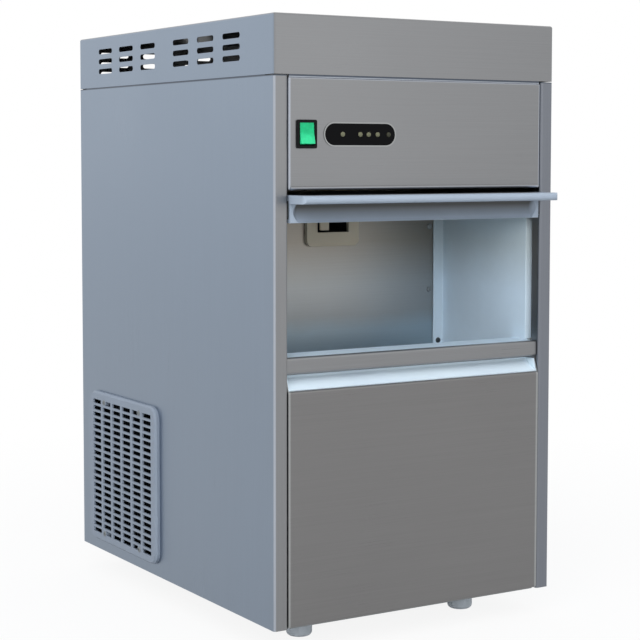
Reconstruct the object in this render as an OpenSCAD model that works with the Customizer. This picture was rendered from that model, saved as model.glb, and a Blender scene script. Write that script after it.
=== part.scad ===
// Flake ice machine: a free-standing cabinet with an ice bin behind a push-in door,
// an auger evaporator above a gear motor, and an air-cooled refrigeration set.
// Lengths are in millimetres. Inside the modules x = 0 is the middle, y = 0 the front
// face and z = 0 the underside of the cabinet; on_floor() moves them to the part's frame.

/* [Cabinet] */
// Width of the cabinet
cab_w = 380; // [370:1:420]
// Depth of the cabinet, front face to back edge
cab_d = 514; // [505:1:580]
// Height of the cabinet above its feet
cab_h = 670; // [650:1:720]
// Thickness of the steel sheet
sheet = 1; // [0.8:0.1:1.3]
// Outer radius of the bends in the sheet
bend_r = 2.8; // [1.8:0.1:3]
// Height of the top cover's skirt
cap_h = 65; // [60:1:75]
// Dark gap between the top cover and the control panel
cap_reveal = 2.5; // [1:0.5:4]
// Seam between the top cover and the side panels
cap_seam = 1; // [0.6:0.1:1.5]
// Width of the side panels' folded front strips
strip_w = 17.5; // [14:0.5:22]
// Depth to which the strips are folded back
strip_return = 14; // [12:0.5:18]
// Gap between the strips and the front panels
panel_gap = 0.5; // [0.4:0.1:0.9]
// Width of the side panels' rear flanges
rear_flange = 18; // [12:1:24]
// Height of the base pan's upturned edge
pan_h = 22; // [12:1:24]
// Height of a foot
foot_h = 32; // [24:1:45]
// Diameter of a foot
foot_d = 30; // [24:1:40]
// Distance of a foot's centre from the cabinet's side
foot_side = 76; // [40:1:90]
// Distance of a foot's centre from the front and the back
foot_end = 75; // [50:1:100]

/* [Front] */
// Height of the control panel
control_h = 122; // [116:1:132]
// Height of the bin's opening
opening_h = 182; // [172:1:190]
// Height of the band under the opening
sill_h = 18.5; // [16:0.5:22]
// Distance of the band behind the lower panel
sill_back = 4; // [2:0.5:6]
// Depth of the band's upper fold
sill_fold = 5; // [4:0.5:8]
// Height of the finger recess under the band
notch_h = 19.3; // [16:0.1:24]
// Depth of the finger recess
notch_depth = 22; // [16:0.5:24]
// Height to which the floor of the finger recess climbs
notch_rise = 13.3; // [8:0.1:14]
// Radius of the control panel's front edges
panel_edge = 2.5; // [1.6:0.1:3]
// Radius of the rolled hem along the control panel's lower edge
hem_r = 2.2; // [1.8:0.1:3]
// Distance by which the hem stands out
hem_proud = 1.2; // [0.6:0.1:1.4]
// Depth of the front panels' folded edges
panel_return = 11; // [8:0.5:11.5]

/* [Controls] */
// Middle of the switch and the indicator window above the control panel's lower edge
controls_z = 60.5; // [45:0.5:75]
// Distance of the switch's middle from the control panel's left edge
switch_side = 22.5; // [20:0.5:26]
// Width of the switch's bezel
switch_w = 25; // [23:0.5:28]
// Height of the switch's bezel
switch_h = 31; // [28:0.5:34]
// Rocking angle of the switch to each side
rocker_tilt = 8; // [5:0.5:9]
// Distance of the indicator window's left end from the control panel's left edge
window_side = 46; // [42:0.5:60]
// Length of the indicator window
window_w = 91; // [80:1:110]
// Height of the indicator window
window_h = 23.5; // [18:0.5:28]
// Diameter of an indicator lamp
lamp_d = 5.5; // [3:0.5:6]

/* [Top cover slots] */
// Length of an air slot
slot_len = 40.5; // [30:0.5:46]
// Height of an air slot
slot_h = 6.4; // [4:0.2:7]
// Distance between the slots of a row
slot_pitch = 62; // [52:0.5:66]
// Distance between the rows
slot_rise = 12.6; // [10:0.2:13]
// Top row's middle below the top of the cover
slot_top = 19.5; // [12:0.5:22]
// Start of the front group of slots behind the front face
slot_front = 75; // [60:1:85]
// Start of the rear group of slots behind the front face
slot_rear = 288; // [280:1:300]

/* [Intake grille] */
// Width of the grille
grille_w = 197; // [192:1:202]
// Height of the grille
grille_h = 196; // [194:1:202]
// Distance of the grille from the cabinet's back edge
grille_back = 36; // [30:1:44]
// Distance of the grille from the cabinet's underside
grille_up = 14; // [8:1:20]
// Distance by which the grille stands out
grille_proud = 6; // [4:0.5:8]
// Corner radius of the grille
grille_r = 16; // [10:1:20]
// Thickness of the grille's slotted skin
grille_skin = 2.2; // [1.5:0.1:3]
// Length of a grille slot
louvre_w = 24; // [16:0.5:25]
// Height of a grille slot
louvre_h = 5.5; // [3:0.1:5.8]
// Distance between the grille's columns
louvre_pitch = 29.5; // [27:0.5:30]
// Distance between the grille's rows
louvre_rise = 8.5; // [8:0.1:8.8]

/* [Door] */
// Thickness of the door
door_t = 30; // [26:0.5:34]
// Gap above the shut door
door_top_gap = 5.5; // [4:0.5:8]
// Gap under the shut door's body
door_sill_gap = 3.5; // [2.5:0.5:6]
// Distance of the pivot rod below the door's outer skin
pin_drop = 16; // [14:0.5:18]
// Length of the door beyond its pivot rod
door_tail = 16; // [12:0.5:18]
// Thickness of the handle's lip
lip_t = 9; // [7:0.5:10]
// Distance by which the lip reaches over each side of the handle
lip_over = 2.5; // [1:0.5:5]
// Distance by which the lip reaches beyond the door's end
lip_reach = 35; // [26:0.5:38]
// Gap between the shut lip and the cabinet's front
lip_gap = 1; // [0.6:0.1:2]
// Radius of the pivot rod
rod_r = 3; // [2.5:0.1:3.5]
// Running clearance of the rod in the door
rod_clear = 0.05; // [0.03:0.01:0.09]
// Clearance of the rod in its rails
rail_clear = 0.3; // [0.2:0.05:0.5]
// Height of a door rail
rail_h = 20; // [14:1:22]

/* [Ice bin] */
// Gap between the door and the bin's side walls
bin_clear = 1; // [0.6:0.1:2]
// Thickness of the bin liner
liner_t = 3; // [2:0.5:4]
// Distance of the liner's front rim from the front face
rim_back = 21; // [20.6:0.1:24]
// Inner face of the bin's front wall behind the front face
bin_front = 46; // [42:1:52]
// Front face of the liner's rear ledge behind the front face
bin_back = 190; // [186:1:200]
// Width of the liner's rear ledge
ledge_w = 14; // [10:0.5:20]
// Height of the bin's floor above the cabinet's underside
bin_floor = 120; // [100:1:140]
// Thickness of the foam round the bin
foam_t = 24; // [18:1:26]

/* [Ice outlet] */
// Sideways place of the ice outlet
outlet_x = 2; // [-20:1:20]
// Width of the outlet's frame
outlet_w = 75; // [70:1:90]
// Height of the outlet's frame
outlet_h = 74; // [66:1:76]
// Width of the outlet's hole
hole_w = 45; // [40:1:50]
// Height of the outlet's hole
hole_h = 44; // [36:1:46]
// Bottom of the outlet's hole above the bottom of its frame
hole_up = 17; // [14:1:22]
// Thickness of the outlet's frame
outlet_t = 5; // [4:0.5:6]
// Width of the bin-full flap
flap_w = 12; // [8:0.5:16]

/* [Ice maker] */
// Distance of the auger's axis behind the bin's back plate
auger_back = 84; // [82:1:100]
// Inner radius of the freezing tube
tube_r = 30; // [26:0.5:34]
// Wall of the freezing tube
tube_t = 3; // [2:0.5:4]
// Radius of the auger's shaft
shaft_r = 8; // [6:0.5:10]
// Running clearance of the auger's shaft
shaft_clear = 0.05; // [0.03:0.01:0.09]
// Gap between the auger's flight and the tube
flight_gap = 0.6; // [0.4:0.1:1.2]
// Rise of the auger's flight in one turn
flight_pitch = 36; // [28:1:48]
// Thickness of the auger's flight
flight_t = 6; // [4:0.5:8]
// Radius of the evaporator's copper tubing
coil_r = 4; // [3:0.5:5]
// Turns of the evaporator's copper tubing
coil_turns = 9; // [6:1:10]
// Thickness of the foam jacket
jacket_t = 15; // [10:1:18]
// Height of the machine shelf above the cabinet's underside
shelf_z = 214; // [212:1:222]
// Height of the gearbox
gearbox_h = 70; // [60:1:80]

/* [Water] */
// Width of the water tank
tank_w = 80; // [70:1:90]
// Depth of the water tank
tank_d = 96; // [84:1:110]
// Height of the water tank
tank_h = 100; // [90:1:110]
// Wall of the water tank
tank_t = 2.5; // [2:0.5:4]
// Radius of the water inlet's pipe thread
inlet_r = 13.2; // [10:0.1:16]
// Distance by which the rear fittings stand out
rear_reach = 28; // [22:1:34]
// Radius of the drain spigot
drain_r = 8; // [6:0.5:10]
// Radius of the cable's passage through its gland
cable_r = 4; // [3:0.1:5]

/* [Refrigeration] */
// Radius of the compressor's shell
comp_r = 62; // [54:1:66]
// Height of the compressor's shell
comp_h = 148; // [130:1:152]
// Height of a compressor grommet
grommet_h = 26; // [18:1:28]
// Thickness of the condenser
cond_t = 40; // [30:1:44]
// Number of condenser fins
fin_count = 26; // [16:1:32]
// Radius of the fan
fan_r = 76; // [66:1:80]
// Gap between the fan and its ring
fan_gap = 3; // [2:0.5:6]
// Depth of the fan shroud
shroud_d = 30; // [26:1:36]
// Radius of the refrigerant pipes
pipe_r = 4; // [3:0.5:5]

/* [Hidden] */
$fn = 48;
bend_steps = 5;
pipe_sides = 10;
eps = 0.5;
aside = [0.31, 0.52, 0.8];

steel = [0.62, 0.64, 0.66];
bright_steel = [0.74, 0.76, 0.78];
white_plastic = [0.9, 0.92, 0.93];
grey_plastic = [0.6, 0.64, 0.68];
black_plastic = [0.08, 0.08, 0.09];
copper = [0.72, 0.43, 0.28];
foam_colour = [0.86, 0.8, 0.6];
hose_colour = [0.85, 0.87, 0.88];
brass = [0.78, 0.68, 0.42];

half_w = cab_w / 2;
in_w = half_w - sheet;
strip_x = half_w - strip_w;
panel_x = strip_x - panel_gap;
door_x = panel_x - 4.5;
bin_x = door_x + bin_clear;
handle_x = panel_x - 1.7;
lip_x = handle_x + lip_over;

z_cap = cab_h - cap_h;
z_control_top = z_cap - cap_reveal;
z_control = z_control_top - control_h;
z_open = z_control - opening_h;
z_sill = z_open - sill_h;
z_notch = z_sill - notch_h;
z_switch = z_control + controls_z;
x_switch = -panel_x + switch_side;
x_window = -panel_x + window_side + window_w / 2;

z_pin = z_control - door_top_gap - pin_drop;
door_len = z_pin - z_open - door_sill_gap;
lip_len = door_len + lip_reach;
door_under = door_t - pin_drop;
lip_under = pin_drop - lip_t;
y_pin_in = door_len;
y_pin_shut = lip_under - lip_gap;

rail_end = 1.2;
rail_y0 = y_pin_shut - rod_r - rail_clear - rail_end;
rail_y1 = y_pin_in + rod_r + rail_clear + 4;
rail_z0 = z_pin - rail_h / 2;
rail_x0 = panel_x - 0.9;
rail_slot_x = in_w - 8;
relief_clear = 0.2;

liner_x = bin_x + liner_t;
liner_top = rail_z0;
y_plate = bin_back + liner_t;
ceiling_z = z_control + 5;
ceiling_t = 2;
foam_y0 = notch_depth + sheet + 2;
foam_y1 = y_plate + sheet + foam_t;

outlet_z = z_open + 108.5;
hole_z = outlet_z + hole_up;
flap_pin_r = 1.5;
flap_pin_z = hole_z + hole_h + 5;
flap_y = y_plate - outlet_t - 4;

y_auger = y_plate + auger_back;
shelf_t = 2;
gear_top = shelf_z + shelf_t + gearbox_h;
boss_h = 6;
bearing_z = gear_top + boss_h;
bearing_h = 12;
nipple_len = 12;
tube_z0 = bearing_z + bearing_h;
tube_z1 = hole_z + 8;
tube_out = tube_r + tube_t;
coil_in = tube_out + 1;
jacket_in = coil_in + 2 * coil_r + 0.4;
jacket_out = jacket_in + jacket_t;
jacket_z0 = tube_z0 + 6;
jacket_z1 = tube_z1 - 8;
head_h = hole_h;
head_z1 = tube_z1 + head_h;
head_wall = 4;
spout_t = 2.5;

tank_x1 = in_w - 14;
tank_x0 = tank_x1 - tank_w;
tank_y0 = foam_y1 + 16;
tank_z1 = hole_z + 14;
tank_z0 = tank_z1 - tank_h;
spigot_at = [tank_x0 + 20, tank_y0 + 24];
spigot_r = 4.5;
spigot_h = 16;

grille_y1 = cab_d - grille_back;
grille_y0 = grille_y1 - grille_w;
grille_cy = (grille_y0 + grille_y1) / 2;
grille_cz = grille_up + grille_h / 2;
louvre_cols = 6;
louvre_rows = 21;
grille_screw_y = 2 * louvre_pitch - 7;
grille_screw_z = grille_h / 2 - 12;

cond_x0 = -in_w + 3;
cond_x1 = cond_x0 + cond_t;
cond_half = grille_w / 2 - 6;
cond_z1 = grille_up + grille_h - 6;
end_plate_t = 1.5;
tube_low = 30;
tube_high = cond_z1 - 20;
shroud_x1 = cond_x1 + shroud_d;
cond_port = cond_x0 + 0.7 * cond_t;
fan_cz = (sheet + cond_z1) / 2;
ring_r = fan_r + fan_gap;
fan_shaft_r = 4;
fan_x0 = cond_x1 + 6;

comp_x = in_w - 24 - comp_r;
comp_y = cab_d - 36 - comp_r;
comp_foot_z = sheet + grommet_h;
comp_z0 = comp_foot_z + 3;
comp_stub = 12;

inlet_at = [in_w - 50, shelf_z + 46];
drain_at = [-30, 40];
gland_at = [-in_w + 45, shelf_z + 40];
y_back = cab_d - sheet;

// Helpers: vectors, folded sheets, outlines and swept pipes

function unit(v) = v / norm(v);
function left_of(v) = [-v.y, v.x];
function turned(v, a) = [v.x * cos(a) - v.y * sin(a), v.x * sin(a) + v.y * cos(a)];
function arc(c, r, a0, a1, n = 8) = [for (i = [0:n]) c + r * turned([1, 0], a0 + (a1 - a0) * i / n)];

// Points along one bend of a sheet's outer face, each with the direction into the sheet
function bend(a, b, c, r) =
    let (d1 = unit(b - a), d2 = unit(c - b))
    let (turn = atan2(d1.x * d2.y - d1.y * d2.x, d1 * d2), s = sign(turn))
    let (start = b - d1 * r * tan(abs(turn) / 2), inward = left_of(d1) * s)
    [for (k = [0:bend_steps])
        let (a = turn * k / bend_steps)
        [start + inward * r - turned(inward, a) * r, turned(left_of(d1), a)]];

function folds(path, r) =
    let (n = len(path) - 1)
    concat(
        [[path[0], left_of(unit(path[1] - path[0]))]],
        [for (i = [1:n - 1]) each bend(path[i - 1], path[i], path[i + 1], r)],
        [[path[n], left_of(unit(path[n] - path[n - 1]))]]);

// Closed outline of a folded sheet whose outer face follows the path
function sheet_outline(path, t = sheet) =
    let (f = folds(path, bend_r), n = len(f) - 1)
    concat([for (e = f) e[0]], [for (i = [n:-1:0]) f[i][0] + f[i][1] * t]);

function rounded_rect(w, h, r) = concat(
    arc([w / 2 - r, h / 2 - r], r, 0, 90), arc([r - w / 2, h / 2 - r], r, 90, 180),
    arc([r - w / 2, r - h / 2], r, 180, 270), arc([w / 2 - r, r - h / 2], r, 270, 360));

// A route with each of its corners eased into a curve
function eased(p, r, n = 5) = concat(
    [p[0]],
    [for (i = [1:len(p) - 2])
        let (a = p[i] - unit(p[i] - p[i - 1]) * r, c = p[i] + unit(p[i + 1] - p[i]) * r)
        for (k = [0:n])
            let (s = k / n)
            a * (1 - s) ^ 2 + p[i] * 2 * s * (1 - s) + c * s ^ 2],
    [p[len(p) - 1]]);

function tangents(p) =
    let (n = len(p) - 1)
    [for (i = [0:n]) unit(p[min(i + 1, n)] - p[max(i - 1, 0)])];

function carried(t, v, i = 0) =
    i == len(t) ? [] : let (m = unit(v - t[i] * (v * t[i]))) concat([m], carried(t, m, i + 1));

module swept(p, r, sides) {
    t = tangents(p);
    n = carried(t, cross(t[0], aside));
    rings = len(p);
    points = [for (i = [0:rings - 1]) for (k = [0:sides - 1])
        p[i] + r * (n[i] * cos(360 * k / sides) + cross(t[i], n[i]) * sin(360 * k / sides))];
    walls = [for (i = [0:rings - 2]) for (k = [0:sides - 1])
        let (a = i * sides + k, b = i * sides + (k + 1) % sides)
        [a, a + sides, b + sides, b]];
    ends = [[for (k = [0:sides - 1]) k], [for (k = [0:sides - 1]) rings * sides - 1 - k]];
    polyhedron(points, concat(walls, ends), convexity = 10);
}

module pipe(route, r, ease) swept(eased(route, ease), r, pipe_sides);

module on_floor() translate([0, -cab_d / 2, foot_h]) children();
module block(lo, hi) translate(lo) cube(hi - lo);
module along_x(at, h, r) translate(at) rotate([0, 90, 0]) cylinder(h = h, r = r);
module along_y(at, h, r) translate(at) rotate([-90, 0, 0]) cylinder(h = h, r = r);
module upright(at, h, r) translate(at) cylinder(h = h, r = r);

// Extrudes an outline drawn in (y, z) across x0 to x1
module across(x0, x1) translate([x0, 0, 0]) rotate([90, 0, 90]) linear_extrude(x1 - x0) children();

// Extrudes an outline drawn in (x, z) from y0 to y1
module frontal(y0, y1) translate([0, y1, 0]) rotate([90, 0, 0]) linear_extrude(y1 - y0) children();

module stadium(w, h) {
    translate([h / 2 - w / 2, -h / 2]) square([w - h, h]);
    for (x = [h / 2 - w / 2, w / 2 - h / 2])
        translate([x, 0]) circle(h / 2);
}

module both_sides() {
    children();
    mirror([1, 0, 0]) children();
}

// Cabinet

foot_x = half_w - foot_side;
stud_r = 4;
stud_h = 10;

module foot_at(x, y) {
    round_r = 5;
    on_floor() color(white_plastic) translate([x, y, -foot_h]) {
        rotate_extrude() polygon(concat(
            [[0, 0]], arc([foot_d / 2 - round_r, round_r], round_r, -90, 0),
            [[foot_d / 2, foot_h - 6], [foot_d / 2 - 2, foot_h], [0, foot_h]]));
        upright([0, 0, foot_h], stud_h, stud_r);
    }
}

module foot_front_left() foot_at(-foot_x, foot_end);
module foot_front_right() foot_at(foot_x, foot_end);
module foot_rear_left() foot_at(-foot_x, cab_d - foot_end);
module foot_rear_right() foot_at(foot_x, cab_d - foot_end);

module base_pan() {
    y0 = strip_return + 2;
    y1 = cab_d - bend_r;
    slots_y = foam_y1 + 30;
    on_floor() color(steel) difference() {
        union() {
            block([-in_w, y0, 0], [in_w, y1, sheet]);
            block([-panel_x + 4, 3, 0], [panel_x - 4, y0 + 1, sheet]);
            both_sides() block([-in_w, y0, 0], [-in_w + sheet, y1, pan_h]);
            block([-in_w, y1 - sheet, 0], [in_w, y1, pan_h]);
            block([-panel_x + 4, y0, 0], [panel_x - 4, y0 + sheet, pan_h]);
        }
        for (x = [-foot_x, foot_x], y = [foot_end, cab_d - foot_end])
            upright([x, y, -eps], sheet + 2 * eps, stud_r + 0.1);
        for (i = [0:4])
            block([20 * i - 45, slots_y, -eps], [20 * i - 35, slots_y + 60, sheet + eps]);
    }
}

module side_wall() {
    upstand = 8;
    upstand_end = rear_flange + 2;
    weld = sheet / 2;
    block(
        [-in_w, upstand_end, z_cap - upstand],
        [-in_w + sheet, cab_d - upstand_end, z_cap + upstand]);
    // The weld reaches into the wall, so upstand and wall stay one piece at any width
    block(
        [-in_w - weld, upstand_end + weld, z_cap - upstand + weld],
        [-in_w + weld, cab_d - upstand_end - weld, z_cap - upstand / 2]);
    difference() {
        linear_extrude(z_cap - cap_seam) polygon(sheet_outline([
            [-half_w + rear_flange, cab_d], [-half_w, cab_d], [-half_w, 0],
            [-strip_x, 0], [-strip_x, strip_return]]));
        block(
            [-strip_x - sheet - eps, rail_y0 - relief_clear, rail_z0 - eps],
            [-strip_x + eps, strip_return + eps, rail_z0 + rail_h + eps]);
    }
}

module left_side_panel() {
    air_w = louvre_cols * louvre_pitch;
    air_h = louvre_rows * louvre_rise;
    on_floor() color(steel) difference() {
        side_wall();
        translate([-half_w - eps, grille_cy, grille_cz]) rotate([90, 0, 90])
            linear_extrude(sheet + 2 * eps) polygon(rounded_rect(air_w, air_h, grille_r / 2));
    }
}

module right_side_panel() on_floor() color(steel) mirror([1, 0, 0]) side_wall();

module back_panel() {
    vent_w = 60;
    vent_h = 5;
    on_floor() color(steel) difference() {
        block([bend_r - in_w, y_back - sheet, sheet], [in_w - bend_r, y_back, z_cap + 8]);
        for (x = [30, 105], i = [0:9])
            translate([x, 0, 66 + i * 12]) frontal(y_back - sheet - eps, y_back + eps)
                stadium(vent_w, vent_h);
        along_y([inlet_at.x, y_back - sheet - eps, inlet_at.y], sheet + 2 * eps, inlet_r + 0.1);
        along_y([drain_at.x, y_back - sheet - eps, drain_at.y], sheet + 2 * eps, drain_r + 0.1);
        along_y([gland_at.x, y_back - sheet - eps, gland_at.y], sheet + 2 * eps, cable_r + 4.1);
    }
}

module slot_group(n = 3) {
    for (c = [0:n - 1], r = [0:2])
        translate([slot_len / 2 + c * slot_pitch, cab_h - slot_top - r * slot_rise])
            stadium(slot_len, slot_h);
}

module top_cover() {
    rear_group_x = -half_w + 30;
    on_floor() color(steel) difference() {
        hull() {
            for (x = [-half_w + bend_r, half_w - bend_r], y = [bend_r, cab_d - bend_r]) {
                translate([x, y, cab_h - bend_r]) sphere(bend_r, $fn = 16);
                translate([x, y, z_cap]) cylinder(h = bend_r, r = bend_r, $fn = 16);
            }
        }
        block([-in_w, sheet, z_cap - eps], [in_w, cab_d - sheet, cab_h - sheet]);
        for (y = [slot_front, slot_rear])
            across(-half_w - eps, half_w + eps) translate([y, 0]) slot_group();
        translate([rear_group_x, 0, 0]) frontal(cab_d - sheet - eps, cab_d + eps) slot_group();
    }
}

module panel_ears(z0, z1) {
    both_sides()
        block([panel_x - sheet, strip_return, z0], [strip_x + 7, strip_return + sheet, z1]);
    both_sides()
        block([panel_x - sheet, panel_return - 1, z0], [panel_x, strip_return + sheet, z1]);
}

module control_panel() {
    rim = 1.6;
    rim_proud = 0.8;
    tongue_y = sheet + 0.5;
    tongue_h = 8;
    flange_t = 1.4;
    edge_x = panel_x - panel_edge;
    hollow_x = panel_x - flange_t;
    on_floor() color(steel) difference() {
        union() {
            difference() {
                hull() {
                    for (x = [-edge_x, edge_x], z = [z_control + panel_edge, z_control_top - panel_edge])
                        translate([x, panel_edge, z]) sphere(panel_edge, $fn = 16);
                    block([-panel_x, panel_return - 1, z_control], [panel_x, panel_return, z_control_top]);
                }
                block(
                    [-hollow_x, sheet, z_control + flange_t],
                    [hollow_x, panel_return + eps, z_control_top - flange_t]);
            }
            along_x([-edge_x, hem_r - hem_proud, z_control + hem_r], 2 * edge_x, hem_r);
            block(
                [-hollow_x, tongue_y, z_control_top - sheet],
                [hollow_x, tongue_y + sheet, z_cap + tongue_h]);
            panel_ears(z_control + 12, z_control + 34);
            panel_ears(z_control_top - 34, z_control_top - 12);
            translate([x_window, 0, z_switch]) frontal(-rim_proud, sheet)
                stadium(window_w + 2 * rim, window_h + 2 * rim);
        }
        translate([x_window, 0, z_switch]) frontal(-rim_proud - eps, sheet + eps)
            stadium(window_w + 0.4, window_h + 0.4);
        block(
            [x_switch - switch_w / 2 + 1.8, -eps, z_switch - switch_h / 2 + 1.8],
            [x_switch + switch_w / 2 - 1.8, sheet + eps, z_switch + switch_h / 2 - 1.8]);
    }
}

module lower_front_panel() {
    inset = 8;
    on_floor() color(steel) {
        across(-panel_x, panel_x) polygon(sheet_outline([
            [sill_back + sill_fold, z_open], [sill_back, z_open], [sill_back, z_sill], [notch_depth, z_sill],
            [notch_depth, z_notch + notch_rise], [0, z_notch], [0, sheet], [panel_return, sheet]]));
        both_sides() across(panel_x - sheet, panel_x) {
            polygon([[bend_r, 2 * sheet], [panel_return, 2 * sheet], [panel_return, z_notch - inset],
                [notch_depth, z_notch + notch_rise], [notch_depth, z_sill], [sill_back + bend_r, z_sill],
                [1, z_notch + 1]]);
        }
        panel_ears(40, 70);
        panel_ears(z_notch - 70, z_notch - 40);
    }
}

// White moulding that lies on the floor and the back of the finger recess
module finger_grip() {
    grip_t = 1.2;
    grip_x = panel_x - sheet;
    root = [notch_depth, z_notch + notch_rise];
    nose = [0, z_notch];
    path = [[notch_depth, z_sill - bend_r], root, nose + bend_r * unit(root - nose)];
    on_floor() color(white_plastic) {
        across(-grip_x, grip_x) polygon(sheet_outline(path, -grip_t));
        both_sides() across(grip_x - grip_t, grip_x)
            polygon(concat([for (e = folds(path, bend_r)) e[0]], [[sill_back + bend_r, z_sill - bend_r]]));
    }
}

module grille_plan(inset = 0)
    polygon(rounded_rect(grille_w - 2 * inset, grille_h - 2 * inset, grille_r - inset));

module louvres() {
    for (c = [0:louvre_cols - 1], r = [0:louvre_rows - 1])
        translate([
            (c - (louvre_cols - 1) / 2) * louvre_pitch - louvre_w / 2,
            (r - (louvre_rows - 1) / 2) * louvre_rise - louvre_h / 2])
            square([louvre_w, louvre_h]);
}

module at_grille() translate([-half_w, grille_cy, grille_cz]) rotate([90, 0, -90]) children();
module at_grille_screws()
    at_grille() for (y = [-grille_screw_y, grille_screw_y], z = [-grille_screw_z, grille_screw_z])
        translate([y, z, 0]) children();

screw_r = 2;
screw_head_r = 3.6;
boss_r = 5;

module intake_grille() {
    soft = 2.5;
    on_floor() color(grey_plastic) difference() {
        union() {
            difference() {
                at_grille() hull() {
                    linear_extrude(grille_proud - soft) grille_plan();
                    linear_extrude(grille_proud) grille_plan(soft);
                }
                at_grille() translate([0, 0, -eps])
                    linear_extrude(grille_proud - grille_skin + eps) grille_plan(soft + 1);
                at_grille() linear_extrude(grille_proud + eps) louvres();
            }
            at_grille_screws() cylinder(h = grille_proud, r = boss_r);
        }
        at_grille_screws() translate([0, 0, -eps]) cylinder(h = grille_proud + 2 * eps, r = screw_r);
    }
}

module grille_screws() {
    on_floor() color(bright_steel) at_grille_screws() {
        cylinder(h = grille_proud, r = screw_r);
        translate([0, 0, grille_proud]) cylinder(h = 1, r = screw_head_r);
    }
}

// Ice bin

module bin_liner() {
    rim_x = strip_x + 6;
    on_floor() color(white_plastic) {
        both_sides() {
            block([bin_x, bin_front - liner_t, bin_floor - liner_t], [liner_x, y_plate, liner_top]);
            block([bin_x, rim_back, z_open], [liner_x, bin_front, liner_top]);
            block([bin_x, rim_back, z_open], [rim_x, rim_back + liner_t, liner_top]);
            block([bin_x, rim_back, liner_top - liner_t], [in_w, y_plate, liner_top]);
            block([bin_x - ledge_w, bin_back, bin_floor - liner_t], [bin_x, y_plate, liner_top]);
        }
        block([-liner_x, bin_front - liner_t, bin_floor - liner_t], [liner_x, y_plate, bin_floor]);
        block([-liner_x, bin_front - liner_t, bin_floor - liner_t], [liner_x, bin_front, z_open]);
        block([-liner_x, sill_back + sill_fold, z_open - liner_t], [liner_x, bin_front, z_open]);
        block([-bin_x, bin_back, bin_floor], [bin_x, y_plate, bin_floor + ledge_w]);
    }
}

drain_y = (bin_front + bin_back) / 2;

module bin_insulation() {
    low = bin_floor - liner_t;
    on_floor() color(foam_colour) difference() {
        block([-in_w, foam_y0, low - foam_t], [in_w, foam_y1, liner_top - liner_t]);
        block([-liner_x, bin_front - liner_t, low], [liner_x, y_plate + sheet, cab_h]);
        block([-liner_x, 0, z_open - liner_t], [liner_x, bin_front, cab_h]);
        block([-in_w - eps, 0, z_notch - 10], [in_w + eps, rim_back + liner_t + 1, cab_h]);
        block(
            [outlet_x - hole_w / 2 - spout_t - 1, y_plate, hole_z - spout_t - 1],
            [outlet_x + hole_w / 2 + spout_t + 1, foam_y1 + eps, cab_h]);
        upright([drain_at.x, drain_y, low - foam_t - eps], foam_t + 2 * eps, drain_r + 0.3);
    }
}

module bin_back_plate() {
    on_floor() color(bright_steel) difference() {
        block([-liner_x + eps, y_plate, bin_floor - liner_t], [liner_x - eps, y_plate + sheet, ceiling_z]);
        block(
            [outlet_x - hole_w / 2, y_plate - eps, hole_z],
            [outlet_x + hole_w / 2, y_plate + sheet + eps, hole_z + hole_h]);
    }
}

module bin_ceiling() {
    on_floor() color(bright_steel) {
        block([-in_w, strip_return + 4, ceiling_z], [in_w, foam_y1, ceiling_z + ceiling_t]);
    }
}

flap_pin_x = outlet_x - hole_w / 2 + 1;
ear_t = 2.5;
ear_gap = 0.3;

module ice_outlet_plate() {
    y0 = y_plate - outlet_t;
    on_floor() color(white_plastic) difference() {
        union() {
            translate([outlet_x, 0, outlet_z + outlet_h / 2]) frontal(y0, y_plate)
                polygon(rounded_rect(outlet_w, outlet_h, 8));
            for (x = [flap_pin_x - ear_gap - ear_t, flap_pin_x + flap_w + ear_gap])
                block([x, flap_y - 4, flap_pin_z - 4], [x + ear_t, y0, flap_pin_z + 4]);
        }
        block(
            [outlet_x - hole_w / 2, y0 - eps, hole_z],
            [outlet_x + hole_w / 2, y_plate + eps, hole_z + hole_h]);
        along_x([flap_pin_x - 10, flap_y, flap_pin_z], flap_w + 20, flap_pin_r + 0.02);
    }
}

module bin_full_flap() {
    flap_t = 2.5;
    flap_short = 3;
    on_floor() color(white_plastic) difference() {
        union() {
            block(
                [flap_pin_x, flap_y - flap_t / 2, hole_z + flap_short],
                [flap_pin_x + flap_w, flap_y + flap_t / 2, flap_pin_z]);
            along_x([flap_pin_x, flap_y, flap_pin_z], flap_w, flap_pin_r + 2);
        }
        along_x([flap_pin_x - eps, flap_y, flap_pin_z], flap_w + 2 * eps, flap_pin_r + 0.05);
    }
}

module flap_pin() {
    reach = ear_gap + ear_t;
    on_floor() color(bright_steel)
        along_x([flap_pin_x - reach, flap_y, flap_pin_z], flap_w + 2 * reach, flap_pin_r);
}

module bin_drain_pipe() {
    low = bin_floor - liner_t;
    on_floor() color(grey_plastic) pipe([
        [drain_at.x, drain_y, low], [drain_at.x, drain_y, drain_at.y],
        [drain_at.x, y_back - sheet - 24, drain_at.y]], drain_r - 1, 24);
}

// Door, at rest pushed in over the bin

module door_block(x, u0, u1, v0, v1)
    block([-x, y_pin_in - u1, z_pin + v0], [x, y_pin_in - u0, z_pin + v1]);

// Extrudes an outline drawn along (u, v): u from the rod to the handle, v towards the outer skin
module door_section(x) across(-x, x) translate([y_pin_in, z_pin]) mirror([1, 0]) children();

module rail() {
    slot_h2 = rod_r + rail_clear;
    on_floor() color(black_plastic) difference() {
        union() {
            block([rail_x0, rail_y0, rail_z0], [in_w - bend_r, rail_y1, rail_z0 + rail_h]);
            block([rail_x0, rail_y0 + bend_r, rail_z0], [in_w, rail_y1, rail_z0 + rail_h]);
        }
        block([rail_x0 - eps, y_pin_shut, z_pin - slot_h2], [rail_slot_x, y_pin_in, z_pin + slot_h2]);
        for (y = [y_pin_shut, y_pin_in])
            along_x([rail_x0 - eps, y, z_pin], rail_slot_x - rail_x0 + eps, slot_h2);
    }
}

module door_rail_left() mirror([1, 0, 0]) rail();
module door_rail_right() rail();

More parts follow.
